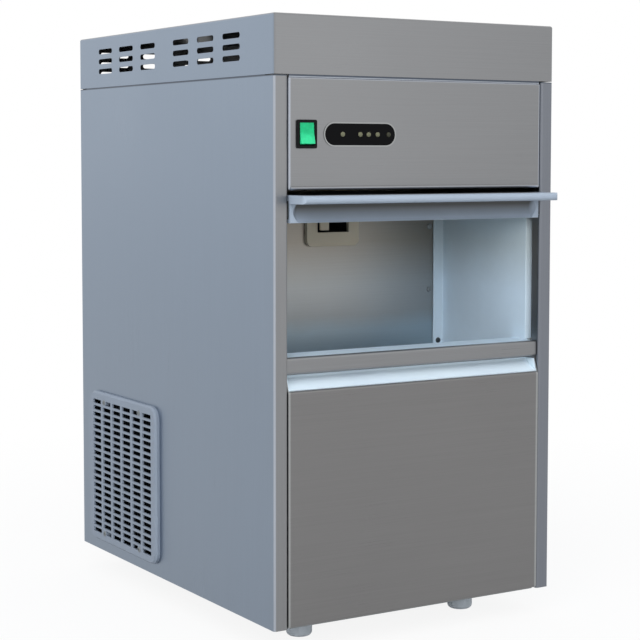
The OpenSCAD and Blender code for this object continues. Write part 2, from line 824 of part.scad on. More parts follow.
module door_pivot_rod() {
    reach = rail_slot_x - rail_clear;
    on_floor() color(bright_steel) along_x([-reach, y_pin_in, z_pin], 2 * reach, rod_r);
}

handle_root = 12;

module door_skin() {
    skirt = 12;
    on_floor() color(steel) difference() {
        door_section(door_x) polygon(concat(
            [[door_len - handle_root, pin_drop - skirt], [door_len - handle_root, pin_drop]],
            arc([6 - door_tail, pin_drop - 6], 6, 90, 180), [[-door_tail, pin_drop - skirt]]));
        door_section(door_x - sheet) polygon(concat(
            [[door_len, -skirt], [door_len, pin_drop - sheet]],
            arc([6 - door_tail, pin_drop - 6], 6 - sheet, 90, 180), [[sheet - door_tail, -skirt]]));
    }
}

module door_core() {
    soft = 4;
    on_floor() color(white_plastic) difference() {
        door_section(door_x - sheet) polygon(concat(
            [[door_len - handle_root, -door_under], [door_len - handle_root, pin_drop - sheet]],
            arc([6 - door_tail, pin_drop - 6], 6 - sheet, 90, 180),
            arc([soft + sheet - door_tail, soft - door_under], soft, 180, 270)));
        along_x([-door_x, y_pin_in, z_pin], 2 * door_x, rod_r + rod_clear);
    }
}

module door_handle() {
    nose = lip_t / 2 - 0.01;
    corner = 5;
    wide_u = door_len + lip_gap;
    lip_rear = y_pin_in - wide_u;
    lip_front = y_pin_in - lip_len;
    cove_r = 13;
    cove_y = y_pin_in - door_len - 6.5;
    cove_z = z_pin + lip_under - 9.5;
    cheek = 3.5;
    taper = 7;
    straight = handle_x - cheek - taper;
    on_floor() color(grey_plastic) {
        difference() {
            door_block(handle_x, door_len - handle_root, door_len, -door_under, pin_drop);
            along_x([-straight, cove_y, cove_z], 2 * straight, cove_r);
            both_sides() translate([straight, cove_y, cove_z]) rotate([0, 90, 0])
                cylinder(h = taper, r1 = cove_r, r2 = cove_r - taper);
        }
        door_block(handle_x, door_len, wide_u, lip_under, pin_drop);
        intersection() {
            door_section(lip_x) polygon(concat(
                [[wide_u, lip_under]],
                arc([lip_len - nose, lip_under + nose], nose, -90, 90),
                [[wide_u, pin_drop]]));
            translate([0, 0, z_pin]) linear_extrude(pin_drop) polygon(concat(
                arc([lip_over - lip_x, lip_rear - lip_over], lip_over, 90, 180),
                arc([corner - lip_x, lip_front + corner], corner, 180, 270),
                arc([lip_x - corner, lip_front + corner], corner, 270, 360),
                arc([lip_x - lip_over, lip_rear - lip_over], lip_over, 0, 90)));
        }
    }
}

// Controls

bezel_proud = 2;
bezel_frame = 3;
bezel_deep = 20;
rocker_pin_r = 1.5;
rocker_y = 4;
rocker_gap = 0.4;
well_w = switch_w - 2 * bezel_frame - 0.8;
well_h = switch_h - 2 * bezel_frame - 0.2;

module switch_bezel() {
    body_w = switch_w - 4;
    body_h = switch_h - 4;
    on_floor() color(black_plastic) translate([x_switch, 0, z_switch]) difference() {
        union() {
            frontal(-bezel_proud, 0) polygon(rounded_rect(switch_w, switch_h, 2));
            block([-body_w / 2, 0, -body_h / 2], [body_w / 2, bezel_deep, body_h / 2]);
        }
        block([-well_w / 2, -bezel_proud - eps, -well_h / 2], [well_w / 2, bezel_deep - 3, well_h / 2]);
        along_x([-well_w / 2 - 0.9, rocker_y, 0], well_w + 1.8, rocker_pin_r + 0.05);
    }
}

module switch_rocker() {
    w = well_w / 2 - rocker_gap;
    h = well_h / 2 - 0.9;
    crest = bezel_proud + rocker_y + 1;
    on_floor() color([0.15, 0.8, 0.45])
        translate([x_switch, rocker_y, z_switch]) rotate([-rocker_tilt, 0, 0]) {
            across(-w, w) polygon(concat(
                [[-crest, h], [1 - crest, 0], [-crest, -h], [2, -h]],
                arc([0, 0], 5, -60, 60), [[2, h]]));
            along_x([-well_w / 2 - 0.6, 0, 0], well_w + 1.2, rocker_pin_r);
        }
}

lamp_places = [0.25, 0.5, 0.62, 0.75, 0.91];

module lamps(r, y0, y1)
    for (p = lamp_places) along_y([x_window + (p - 0.5) * window_w, y0, z_switch], y1 - y0, r);

module indicator_window() {
    on_floor() color(black_plastic) difference() {
        union() {
            translate([x_window, 0, z_switch]) frontal(-0.5, sheet) stadium(window_w, window_h);
            translate([x_window, 0, z_switch]) frontal(sheet, 3) stadium(window_w + 4, window_h + 4);
        }
        lamps(lamp_d / 2 + 0.05, -1, 4);
    }
}

module indicator_lamps() on_floor() color([0.8, 0.78, 0.5]) lamps(lamp_d / 2, -0.9, 3);

module control_box() {
    box_w = 150;
    box_d = 60;
    box_side = 14;
    box_end = 10;
    wall = 2;
    x1 = panel_x - box_side;
    x0 = x1 - box_w;
    z0 = z_control + box_end;
    z1 = z_control_top - box_end;
    on_floor() color(grey_plastic) difference() {
        block([x0, sheet, z0], [x1, box_d, z1]);
        block([x0 + wall, sheet - eps, z0 + wall], [x1 - wall, box_d - wall, z1 - wall]);
    }
}

// Ice maker

module machine_shelf() {
    y0 = foam_y1;
    y1 = cab_d - bend_r;
    lip = 14;
    on_floor() color(steel) difference() {
        union() {
            block([-in_w, y0, shelf_z], [in_w, y1, shelf_z + shelf_t]);
            both_sides() block([in_w - shelf_t, y0, shelf_z - lip], [in_w, y1, shelf_z + shelf_t]);
            block([-in_w, y0, shelf_z - lip], [in_w, y0 + shelf_t, shelf_z + shelf_t]);
            tank_stand();
        }
        for (p = shelf_holes)
            upright([p.x, p.y, shelf_z - eps], shelf_t + 2 * eps, pipe_r + 4);
    }
}

// Bracket welded to the shelf under the water tank
module tank_stand() {
    difference() {
        block([tank_x0, tank_y0, shelf_z], [tank_x1, tank_y0 + tank_d, tank_z0]);
        block(
            [tank_x0 - eps, tank_y0 + shelf_t, shelf_z + shelf_t],
            [tank_x1 + eps, tank_y0 + tank_d - shelf_t, tank_z0 - shelf_t]);
        upright([spigot_at.x, spigot_at.y, tank_z0 - shelf_t - eps], shelf_t + 2 * eps, spigot_r + 2.5);
    }
}

module gear_motor() {
    w = 104;
    front = 44;
    back = 52;
    can_r = 34;
    can_len = 90;
    z0 = shelf_z + shelf_t;
    on_floor() color(grey_plastic) difference() {
        union() {
            translate([outlet_x, y_auger + (back - front) / 2, z0]) linear_extrude(gearbox_h)
                polygon(rounded_rect(w, front + back, 10));
            upright([outlet_x, y_auger, gear_top], boss_h, 24);
            along_y([outlet_x, y_auger + back, z0 + can_r + 1], can_len, can_r);
            along_y([outlet_x, y_auger + back + can_len, z0 + can_r + 1], 8, can_r - 10);
        }
        upright([outlet_x, y_auger, z0 + 30], gearbox_h, shaft_r + shaft_clear);
    }
}

module lower_bearing() {
    on_floor() color(brass) difference() {
        union() {
            upright([outlet_x, y_auger, bearing_z], bearing_h, tube_out + 4);
            along_x([outlet_x + tube_out, y_auger, bearing_z + bearing_h / 2], nipple_len, spigot_r);
        }
        upright([outlet_x, y_auger, bearing_z - eps], bearing_h + 2 * eps, shaft_r + shaft_clear);
    }
}

module evaporator_tube() {
    on_floor() color(bright_steel) difference() {
        upright([outlet_x, y_auger, tube_z0], tube_z1 - tube_z0, tube_out);
        upright([outlet_x, y_auger, tube_z0 - eps], tube_z1 - tube_z0 + 2 * eps, tube_r);
    }
}

coil_mid = coil_in + coil_r;
coil_z0 = jacket_z0 + coil_r + 3;
coil_z1 = jacket_z1 - coil_r - 3;
coil_side = outlet_x - coil_mid - coil_r - 0.3;

module evaporator_coil() {
    steps = 16 * coil_turns;
    on_floor() color(copper) translate([outlet_x, y_auger, coil_z0])
        swept([for (i = [0:steps])
            let (a = 180 + 360 * coil_turns * i / steps)
            [coil_mid * cos(a), coil_mid * sin(a), (coil_z1 - coil_z0) * i / steps]], coil_r, 8);
}

module evaporator_jacket() {
    on_floor() color(foam_colour) difference() {
        upright([outlet_x, y_auger, jacket_z0], jacket_z1 - jacket_z0, jacket_out);
        upright([outlet_x, y_auger, jacket_z0 - eps], jacket_z1 - jacket_z0 + 2 * eps, jacket_in);
        for (z = [coil_z0, coil_z1])
            along_x([outlet_x - jacket_out - eps, y_auger, z], jacket_t + 2 * eps, pipe_r + 0.3);
    }
}

module auger() {
    shaft_seat = 32;
    shaft_z0 = gear_top - gearbox_h + shaft_seat;
    flight_z0 = tube_z0 + 2;
    flight_h = tube_z1 - flight_z0;
    reach = tube_r - flight_gap;
    on_floor() color(bright_steel) translate([outlet_x, y_auger, 0]) {
        upright([0, 0, shaft_z0], head_z1 - shaft_z0, shaft_r);
        translate([0, 0, flight_z0])
            linear_extrude(flight_h, twist = -360 * flight_h / flight_pitch, slices = 80, $fn = 4)
                translate([shaft_r - 1, -flight_t / 2]) square([reach - shaft_r, flight_t]);
    }
}

module ice_head() {
    r = tube_out + head_wall;
    on_floor() color(bright_steel) difference() {
        upright([outlet_x, y_auger, tube_z1], head_h, r);
        upright([outlet_x, y_auger, tube_z1 - eps], head_h - 6 + eps, tube_r);
        upright([outlet_x, y_auger, tube_z1], head_h + eps, shaft_r + shaft_clear);
        block(
            [outlet_x - hole_w / 2, y_auger - r - eps, tube_z1 + 2],
            [outlet_x + hole_w / 2, y_auger, tube_z1 + head_h - 8]);
    }
}

module ice_spout() {
    y0 = y_plate + sheet;
    y1 = y_auger - tube_out - head_wall;
    z1 = hole_z + hole_h;
    w = hole_w / 2;
    on_floor() color(white_plastic) difference() {
        across(outlet_x - w - spout_t, outlet_x + w + spout_t)
            polygon([[y0, hole_z - spout_t], [y1 + 6, tube_z1 + 2 - spout_t], [y1 + 6, z1 + spout_t],
                [y0, z1 + spout_t]]);
        across(outlet_x - w, outlet_x + w)
            polygon([[y0 - eps, hole_z], [y1 + 6 + eps, tube_z1 + 2], [y1 + 6 + eps, z1], [y0 - eps, z1]]);
        upright([outlet_x, y_auger, 0], cab_h, tube_out + head_wall);
    }
}

// Water

float_pin_r = 2;
float_y = tank_y0 + tank_d - tank_t - 16;
float_z = tank_z1 - 16;
float_x = (tank_x0 + tank_x1) / 2;
valve_w = 14;

module water_tank() {
    on_floor() color(white_plastic) difference() {
        union() {
            block([tank_x0, tank_y0, tank_z0], [tank_x1, tank_y0 + tank_d, tank_z1]);
            upright([spigot_at.x, spigot_at.y, tank_z0 - spigot_h], spigot_h + eps, spigot_r);
        }
        block(
            [tank_x0 + tank_t, tank_y0 + tank_t, tank_z0 + tank_t],
            [tank_x1 - tank_t, tank_y0 + tank_d - tank_t, tank_z1 + eps]);
        along_y([float_x, tank_y0 + tank_d - tank_t - eps, float_z], tank_t + 2 * eps, 6.1);
    }
}

module float_valve() {
    wall_y = tank_y0 + tank_d - tank_t;
    on_floor() color(white_plastic) difference() {
        union() {
            along_y([float_x, wall_y - 4, float_z], 4, 11);
            along_y([float_x, wall_y - 4, float_z], tank_t + 16, 6);
            for (s = [-1, 1])
                block(
                    [float_x + s * valve_w / 2 - 2, float_y - 4, float_z - 5],
                    [float_x + s * valve_w / 2 + 2, wall_y, float_z + 5]);
        }
        along_x([float_x - 20, float_y, float_z], 40, float_pin_r + 0.05);
    }
}

module float_arm() {
    inner = valve_w / 2 - 2 - 0.3;
    drop = 22;
    ball = [0, -44, -drop - 14];
    on_floor() color(grey_plastic) translate([float_x, float_y, float_z]) {
        along_x([-valve_w / 2 - 2, 0, 0], valve_w + 4, float_pin_r);
        along_x([-inner, 0, 0], 2 * inner, 5);
        across(-2.5, 2.5) polygon([[3, -4], [3, 4], [-4, 4], [-40, -drop], [-46, -drop], [-46, -drop - 4]]);
        translate(ball) rotate_extrude()
            polygon([[0, -14], [14, -14], [17, -11], [17, 9], [14, 12], [0, 12]]);
    }
}

module feed_hose() {
    low = bearing_z + bearing_h / 2;
    on_floor() color(hose_colour) pipe([
        [spigot_at.x, spigot_at.y, tank_z0 - spigot_h], [spigot_at.x, spigot_at.y, low],
        [tank_x0 - 10, y_auger, low], [outlet_x + tube_out + nipple_len, y_auger, low]], spigot_r, 9);
}

module supply_hose() {
    start_y = tank_y0 + tank_d + 12;
    on_floor() color(hose_colour) pipe([
        [float_x, start_y + 0.5, float_z], [float_x, start_y + 40, float_z],
        [inlet_at.x, y_back - 70, inlet_at.y], [inlet_at.x, y_back - sheet - 20, inlet_at.y]], 6, 16);
}

// Outer end of a rear fitting: a collar against the back, a relief and the plain end
module rear_end(at, r, collar_h) {
    relief_len = 1.5;
    relief_drop = 1;
    y_end = cab_d + rear_reach;
    y_wall = y_back + collar_h + relief_len;
    along_y([at.x, y_back - sheet, at.y], sheet, r);
    along_y([at.x, y_back, at.y], collar_h + relief_len, r - relief_drop);
    along_y([at.x, y_wall, at.y], y_end - y_wall, r);
}

module water_inlet() {
    nut_h = 6;
    on_floor() color(brass) {
        along_y([inlet_at.x, y_back - sheet - 20, inlet_at.y], 12, 7);
        along_y([inlet_at.x, y_back - sheet - 8, inlet_at.y], 8, inlet_r + 4);
        translate([inlet_at.x, y_back, inlet_at.y]) rotate([-90, 0, 0])
            cylinder(h = nut_h, r = inlet_r + 5, $fn = 6);
        rear_end(inlet_at, inlet_r, nut_h);
    }
}

// Refrigeration

module compressor() {
    plate = 66;
    dome = 36;
    seam = comp_h * 0.55;
    cover_w = 52;
    cover_h = 50;
    cover_up = 40;
    cover_proud = 14;
    on_floor() color(black_plastic) {
        translate([comp_x, comp_y, comp_z0]) rotate_extrude() polygon(concat(
            [[0, 0], [comp_r - 14, 0]], arc([comp_r - 16, 16], 16, -60, 0),
            [[comp_r, seam], [comp_r + 3, seam], [comp_r + 3, seam + 4], [comp_r, seam + 4]],
            arc([comp_r - dome, comp_h - dome], dome, 0, 90), [[0, comp_h]]));
        block([comp_x - plate, comp_y - plate, comp_foot_z], [comp_x + plate, comp_y + plate, comp_z0]);
        block(
            [comp_x - cover_w / 2, comp_y - comp_r - cover_proud, comp_z0 + cover_up],
            [comp_x + cover_w / 2, comp_y - comp_r + cover_proud, comp_z0 + cover_up + cover_h]);
        along_x([comp_x - comp_r - comp_stub, comp_y, comp_z0 + 50], comp_stub + 8, pipe_r);
        along_x([comp_x - comp_r - comp_stub, comp_y - 16, comp_z0 + 30], comp_stub + 12, pipe_r);
    }
}

module compressor_grommets() {
    spread = 56;
    on_floor() color([0.1, 0.1, 0.1]) for (x = [-1, 1], y = [-1, 1])
        translate([comp_x + x * spread, comp_y + y * spread, sheet]) rotate_extrude()
            polygon([[0, 0], [13, 0], [13, 6], [9, 9], [9, grommet_h - 6], [12, grommet_h - 3],
                [12, grommet_h], [0, grommet_h]]);
}

module condenser() {
    y0 = grille_cy - cond_half;
    y1 = grille_cy + cond_half;
    gap = (2 * cond_half - 2 * end_plate_t) / (fin_count + 1);
    rows = 6;
    row_rise = (tube_high - tube_low) / (rows - 1);
    cond_tube_r = 4.5;
    fin_t = 0.6;
    on_floor() color([0.75, 0.77, 0.78]) {
        for (y = [y0, y1 - end_plate_t])
            block([cond_x0, y, sheet], [cond_x1, y + end_plate_t, cond_z1]);
        for (i = [1:fin_count])
            translate([0, y0 + end_plate_t + i * gap, 0])
                block([cond_x0 + 1, -fin_t / 2, 14], [cond_x1 - 1, fin_t / 2, cond_z1 - 4]);
        for (r = [0:rows - 1], x = [0.3, 0.7])
            along_y([cond_x0 + x * cond_t, y0, tube_low + r * row_rise], 2 * cond_half, cond_tube_r);
    }
}

module fan_shroud() {
    y0 = grille_cy - cond_half;
    y1 = grille_cy + cond_half;
    wall = 2;
    tray_d = 6;
    spoke_t = 4;
    seat_r = 26;
    tray_x = cond_x1 + tray_d;
    on_floor() color(black_plastic) {
        difference() {
            union() {
                block([cond_x1, y0, sheet], [tray_x, y1, cond_z1]);
                along_x([tray_x - 1, grille_cy, fan_cz], shroud_x1 - tray_x, ring_r + wall);
            }
            block([cond_x1 - eps, y0 + wall, sheet + wall], [tray_x - wall, y1 - wall, cond_z1 - wall]);
            along_x([cond_x1 - eps, grille_cy, fan_cz], shroud_d + 2 * eps, ring_r);
        }
        translate([shroud_x1 - spoke_t, grille_cy, fan_cz]) difference() {
            union() {
                for (a = [90, 210, 330])
                    rotate([a, 0, 0]) block([0, seat_r - 6, -5], [spoke_t, ring_r + 1, 5]);
                along_x([0, 0, 0], spoke_t, seat_r);
            }
            along_x([-eps, 0, 0], spoke_t + 2 * eps, fan_shaft_r + 2);
        }
    }
}

module fan_motor() {
    motor_len = 46;
    on_floor() color(grey_plastic) difference() {
        union() {
            along_x([shroud_x1, grille_cy, fan_cz], motor_len, 30);
            along_x([shroud_x1 + motor_len, grille_cy, fan_cz], 6, 20);
        }
        along_x([shroud_x1 - eps, grille_cy, fan_cz], motor_len - 6, fan_shaft_r + 0.05);
    }
}

module fan_blade() {
    hub_r = 20;
    hub_t = 14;
    blades = 5;
    blade_inset = 0.8;
    pitch = 32;
    on_floor() color(black_plastic) translate([fan_x0, grille_cy, fan_cz]) {
        along_x([0, 0, 0], hub_t, hub_r);
        along_x([hub_t, 0, 0], shroud_x1 + 30 - fan_x0 - hub_t, fan_shaft_r);
        for (i = [0:blades - 1])
            rotate([i * 360 / blades, 0, 0]) intersection() {
                translate([hub_t / 2, 0, hub_r - 4]) rotate([0, 0, pitch])
                    block([-1, -22, 0], [1, 22, fan_r]);
                along_x([blade_inset, 0, 0], hub_t - 2 * blade_inset, fan_r);
            }
    }
}

drier_at = [shroud_x1 + 24, grille_y0 + 30];
drier_z0 = 70;
drier_h = 96;
suction_at = [outlet_x - 47, y_auger + 60];
shelf_holes = [drier_at, suction_at];
jacket_side = outlet_x - jacket_out;

module filter_drier() {
    r = 11;
    on_floor() color(copper) translate([drier_at.x, drier_at.y, drier_z0]) rotate_extrude()
        polygon([[0, 0], [pipe_r, 0], [pipe_r, 10], [r, 18], [r, drier_h - 18], [pipe_r, drier_h - 10],
            [pipe_r, drier_h], [0, drier_h]]);
}

module discharge_pipe() {
    z = comp_z0 + 30;
    on_floor() color(copper) pipe([
        [comp_x - comp_r - comp_stub, comp_y - 16, z], [comp_x - comp_r - comp_stub - 30, comp_y - 16, z],
        [shroud_x1 + 60, grille_y1 - 4, z], [cond_port, grille_cy + cond_half + 14, tube_high],
        [cond_port, grille_cy + cond_half, tube_high]], pipe_r, 8);
}

module liquid_pipe() {
    top = drier_z0 + drier_h;
    on_floor() color(copper) {
        pipe([
            [cond_port, grille_cy - cond_half, tube_low], [cond_port, grille_cy - cond_half - 14, tube_low],
            [drier_at.x, drier_at.y - 30, tube_low], [drier_at.x, drier_at.y, tube_low + 10],
            [drier_at.x, drier_at.y, drier_z0]],
            pipe_r, 6);
        pipe([
            [drier_at.x, drier_at.y, top], [drier_at.x, drier_at.y, shelf_z + 30],
            [jacket_side - 26, y_auger, coil_z0], [coil_side, y_auger, coil_z0]], pipe_r, 8);
    }
}

module suction_pipe() {
    x = suction_at.x;
    y = suction_at.y;
    on_floor() color(copper) pipe([
        [coil_side, y_auger, coil_z1], [jacket_side - 18, y_auger, coil_z1],
        [x - 20, y, coil_z1 - 20], [x, y, coil_z1 - 50], [x, y, comp_z0 + 100],
        [x + 34, comp_y, comp_z0 + 50], [comp_x - comp_r - comp_stub, comp_y, comp_z0 + 50]], pipe_r, 8);
}

// Rear fittings

module cable_gland() {
    nut_h = 6;
    on_floor() color(black_plastic) difference() {
        union() {
            along_y([gland_at.x, y_back - sheet - 10, gland_at.y], 10, cable_r + 8);
            along_y([gland_at.x, y_back - sheet, gland_at.y], sheet, cable_r + 4);
            translate([gland_at.x, y_back, gland_at.y]) rotate([-90, 0, 0]) {
                cylinder(h = nut_h, r = cable_r + 9, $fn = 6);
                translate([0, 0, nut_h]) rotate_extrude() polygon([[0, 0], [cable_r + 7, 0],
                    [cable_r + 7, 10], [cable_r + 3, rear_reach - nut_h], [0, rear_reach - nut_h]]);
            }
        }
        along_y([gland_at.x, y_back - sheet - 10 - eps, gland_at.y], rear_reach + 20, cable_r);
    }
}

module drain_spigot() {
    collar_h = 3;
    on_floor() color(white_plastic) {
        along_y([drain_at.x, y_back - sheet - 24, drain_at.y], 18, drain_r - 1);
        along_y([drain_at.x, y_back - sheet - 6, drain_at.y], 6, drain_r + 6);
        along_y([drain_at.x, y_back, drain_at.y], collar_h, drain_r + 4);
        rear_end(drain_at, drain_r, collar_h);
    }
}

base_pan();
foot_front_left();
foot_front_right();
foot_rear_left();
foot_rear_right();
left_side_panel();
right_side_panel();
back_panel();
top_cover();
control_panel();
lower_front_panel();
finger_grip();
intake_grille();
grille_screws();
bin_liner();
bin_insulation();
bin_back_plate();
bin_ceiling();
ice_outlet_plate();
bin_full_flap();
flap_pin();
bin_drain_pipe();
door_rail_left();
door_rail_right();
door_pivot_rod();
door_skin();
door_core();
door_handle();
switch_bezel();
switch_rocker();
indicator_window();
indicator_lamps();
control_box();
machine_shelf();
gear_motor();
lower_bearing();
evaporator_tube();
evaporator_coil();
evaporator_jacket();
auger();
ice_head();
ice_spout();
water_tank();
float_valve();
float_arm();
feed_hose();
supply_hose();
water_inlet();
compressor();
compressor_grommets();
condenser();
fan_shroud();
fan_motor();
fan_blade();
filter_drier();
discharge_pipe();
liquid_pipe();
suction_pipe();
cable_gland();
drain_spigot();
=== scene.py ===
"""Finishes, small fittings and studio stage of a flake ice machine."""

import math

import bmesh
import bpy
from bpy.props import FloatProperty, FloatVectorProperty, IntProperty, PointerProperty
from mathutils import Matrix, Vector


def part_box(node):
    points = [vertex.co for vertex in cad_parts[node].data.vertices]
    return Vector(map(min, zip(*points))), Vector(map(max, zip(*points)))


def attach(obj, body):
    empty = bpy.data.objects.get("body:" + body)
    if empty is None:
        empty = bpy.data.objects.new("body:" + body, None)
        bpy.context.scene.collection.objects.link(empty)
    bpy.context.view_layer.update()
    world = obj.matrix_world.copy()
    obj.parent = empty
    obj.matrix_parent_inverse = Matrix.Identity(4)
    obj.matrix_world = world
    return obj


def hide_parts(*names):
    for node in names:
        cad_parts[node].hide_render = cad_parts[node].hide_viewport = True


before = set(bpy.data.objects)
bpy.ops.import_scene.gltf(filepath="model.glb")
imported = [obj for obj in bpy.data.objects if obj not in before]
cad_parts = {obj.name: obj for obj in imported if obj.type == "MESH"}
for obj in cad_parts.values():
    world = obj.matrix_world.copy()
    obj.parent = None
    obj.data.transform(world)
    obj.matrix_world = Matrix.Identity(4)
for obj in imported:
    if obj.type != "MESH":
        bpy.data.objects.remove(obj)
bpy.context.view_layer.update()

# Distances within which points are merged, in built shapes and in CAD nodes
SAME_POINT = 0.0000002
WELD_REACH = 0.00001
# Edges that turn by more than this stay sharp
SHARP_TURN = math.radians(35)
# Sockets of a colour mix, whose names aren't unique
MIX_SHARE, MIX_FIRST, MIX_SECOND, MIX_RESULT = 0, 6, 7, 2
NOISE_MIDDLE = 0.5
WHITE = (1.0, 1.0, 1.0, 1.0)

bl_info = {
    "name": "Flake Ice Machine",
    "version": (1, 0, 0),
    "blender": (4, 5, 0),
    "location": "3D View > Sidebar > Ice Machine",
    "description": "Finishes, fittings and stage of a flake ice machine",
    "category": "Object",
}


def srgb(red, green, blue):
    """Turns a screen colour of 0 to 255 into the linear colour that shaders take."""
    def linear(value):
        share = value / 255
        return share / 12.92 if share <= 0.04045 else ((share + 0.055) / 1.055) ** 2.4

    return linear(red), linear(green), linear(blue)


def colour(label, words, red, green, blue):
    """A colour property with its default written as a screen colour."""
    return FloatVectorProperty(
        name=label, description=words, subtype="COLOR", min=0.0, max=1.0,
        default=srgb(red, green, blue))


class FinishSettings(bpy.types.PropertyGroup):
    """Colours and grain of the machine's finishes."""

    steel: colour("Steel", "Brushed sheet of the cabinet", 147, 148, 150)
    # Painted light: a bluish tint on the outer faces of the sides and the cap, for light from the
    # left
    side_lit_steel: colour("Side steel", "Outer face of the side sheets", 145, 157, 172)
    # Painted shade: a darker tone on the face below the finger grip
    lower_shade_steel: colour("Lower steel", "Face of the lower front sheet", 135, 134, 134)
    # Painted light: a lighter, bluish band along the foot of the bin's back plate
    foot_light: colour("Water film", "Brightened foot of the bin's back plate", 176, 190, 197)
    # Painted shade: a darker, warmer tone on the top of the bin's back plate
    top_shade_steel: colour("Dull sheet", "Shadowed top of the bin's back plate", 152, 146, 137)
    # Painted shade: a dark band on the edge in the seam under the cap
    seam: colour("Seam", "Shaded edge in the seam under the cap", 92, 99, 110)
    # Painted highlight: a bright tone on the rims and bends of the cabinet's sheets
    edge: colour("Highlighted edge", "Rims and bends where the brushing is shown bright", 184, 190, 200)
    # Painted shade: a darker, bluer tone on the right side's front strip
    right_strip_shade: colour("Right strip", "Darker front strip of the right side sheet", 134, 138, 146)
    bright_steel: colour("Bright steel", "Polished inner sheet, pins and auger", 168, 170, 170)
    galvanised: colour("Galvanised", "Zinc-coated base pan and shelf", 138, 143, 146)
    liner: colour("Liner", "White moulding of the bin and the tank", 214, 232, 246)
    # Painted shade: a greyer tone on the top of the bin's walls
    liner_top_shade: colour("Darkened liner", "Greyer top of the bin's walls", 198, 211, 216)
    foot: colour("Foot", "White moulding of the feet", 212, 220, 228)
    grip: colour("Grip", "White moulding in the finger recess", 226, 242, 255)
    outlet: colour("Outlet", "Warm white plate round the ice outlet", 200, 186, 162)
    grey_plastic: colour("Grey plastic", "Handle, float and control box", 162, 175, 191)
    # Painted shade: a dark tone in the hollow under the handle's lip
    cove_shade: colour("Cove", "Shaded hollow under the handle's lip", 76, 77, 77)
    grille: colour("Grille", "Moulding of the air grille", 138, 149, 164)
    black_plastic: colour("Black plastic", "Black mouldings and enamel", 9, 9, 11)
    rocker: colour("Rocker", "Lit rocker of the switch", 18, 180, 118)
    rocker_foot: colour("Rocker foot", "Brighter foot of the lit rocker", 50, 212, 146)
    lamp: colour("Lamp", "Lenses of the indicator lamps", 108, 108, 86)
    copper: colour("Copper", "Refrigerant tubing", 184, 115, 80)
    brass: colour("Brass", "Bearing and water inlet", 188, 160, 96)
    foam: colour("Foam", "Insulation round the bin and the freezing tube", 214, 196, 140)
    hose: colour("Hose", "Water hoses", 205, 212, 216)
    enamel: colour("Enamel", "Painted motors", 120, 126, 132)
    rubber: colour("Rubber", "Compressor mounts", 28, 28, 29)
    # Black lacquer on the condenser fins, also made dark as painted shade behind the grille's
    # slots
    aluminium: colour("Aluminium", "Condenser fins under black lacquer", 44, 48, 54)
    grain_width: FloatProperty(
        name="Grain width", description="Width of a brush line in the steel",
        default=0.0006, min=0.0002, max=0.003, unit="LENGTH")
    grain_length: FloatProperty(
        name="Grain length", description="Length of a brush line in the steel",
        default=0.12, min=0.02, max=0.5, unit="LENGTH")


class FittingSettings(bpy.types.PropertyGroup):
    """Sizes of the small fittings."""

    screw_radius: FloatProperty(
        name="Screw head radius", description="Radius of a pan-head screw",
        default=0.0036, min=0.002, max=0.006, unit="LENGTH")
    screw_height: FloatProperty(
        name="Screw head height", description="Height of a pan-head screw",
        default=0.0016, min=0.001, max=0.004, unit="LENGTH")
    lens_height: FloatProperty(
        name="Lens height", description="Height of a lamp's dome",
        default=0.0012, min=0.0005, max=0.003, unit="LENGTH")
    thread_pitch: FloatProperty(
        name="Thread pitch", description="Pitch of the water inlet's thread",
        default=0.0018, min=0.001, max=0.003, unit="LENGTH")
    thread_depth: FloatProperty(
        name="Thread depth", description="Depth of the water inlet's thread",
        default=0.001, min=0.0004, max=0.002, unit="LENGTH")
    edge_radius: FloatProperty(
        name="Edge radius", description="Rounding of moulded edges",
        default=0.0008, min=0.0002, max=0.003, unit="LENGTH")
    edge_steps: IntProperty(
        name="Edge steps", description="Segments across a rounded edge", default=2, min=1, max=4)


class StageSettings(bpy.types.PropertyGroup):
    """Camera, floor and backdrop."""

    camera_place: FloatVectorProperty(
        name="Camera place", description="Where the camera stands", subtype="TRANSLATION",
        unit="LENGTH", default=(-1.0943, -1.8285, 0.5507))
    camera_turn: FloatVectorProperty(
        name="Camera turn", description="How the camera is turned", subtype="EULER",
        unit="ROTATION",
        default=(math.radians(86.104), math.radians(-0.05), math.radians(-31.475)))
    lens: FloatProperty(name="Lens", description="Focal length in millimetres", default=95.25)
    shift: FloatProperty(name="Shift", description="Upward shift of the picture", default=-0.078)
    floor_size: FloatProperty(
        name="Floor size", description="Side of the floor", default=60.0, unit="LENGTH")
    floor_tone: colour("Floor tone", "Colour of the floor paper", 190, 190, 190)
    floor_mirror: FloatProperty(
        name="Floor mirror", description="Share of plain white floor that metal shows",
        default=0.55, min=0.0, max=1.0, subtype="FACTOR")
    shadow: FloatProperty(
        name="Shadow", description="Share of the floor near the machine that takes its shadow",
        default=0.12, min=0.0, max=1.0, subtype="FACTOR")
    shadow_reach: FloatProperty(
        name="Shadow reach", description="Distance at which the floor turns plain white",
        default=1.3, min=0.5, unit="LENGTH")
    right_fall: FloatProperty(
        name="Right fall", description="Share by which the backdrop darkens to the right",
        default=0.28, min=0.0, max=1.0, subtype="FACTOR")
    ambient: FloatProperty(
        name="Ambient", description="Strength of the light from all round", default=0.75, min=0.0)


class Signal:
    """A shader socket that takes part in Python expressions."""

    def __init__(self, tree, socket):
        self.tree = tree
        self.socket = socket

    def maths(self, operation, first, second):
        """Joins two values, of which either may be a plain number."""
        return Wiring(self.tree).node("Math", {"operation": operation}, {0: first, 1: second})

    def __add__(self, other):
        return self.maths("ADD", self, other)

    def __radd__(self, other):
        return self.maths("ADD", other, self)

    def __sub__(self, other):
        return self.maths("SUBTRACT", self, other)

    def __rsub__(self, other):
        return self.maths("SUBTRACT", other, self)

    def __mul__(self, other):
        return self.maths("MULTIPLY", self, other)


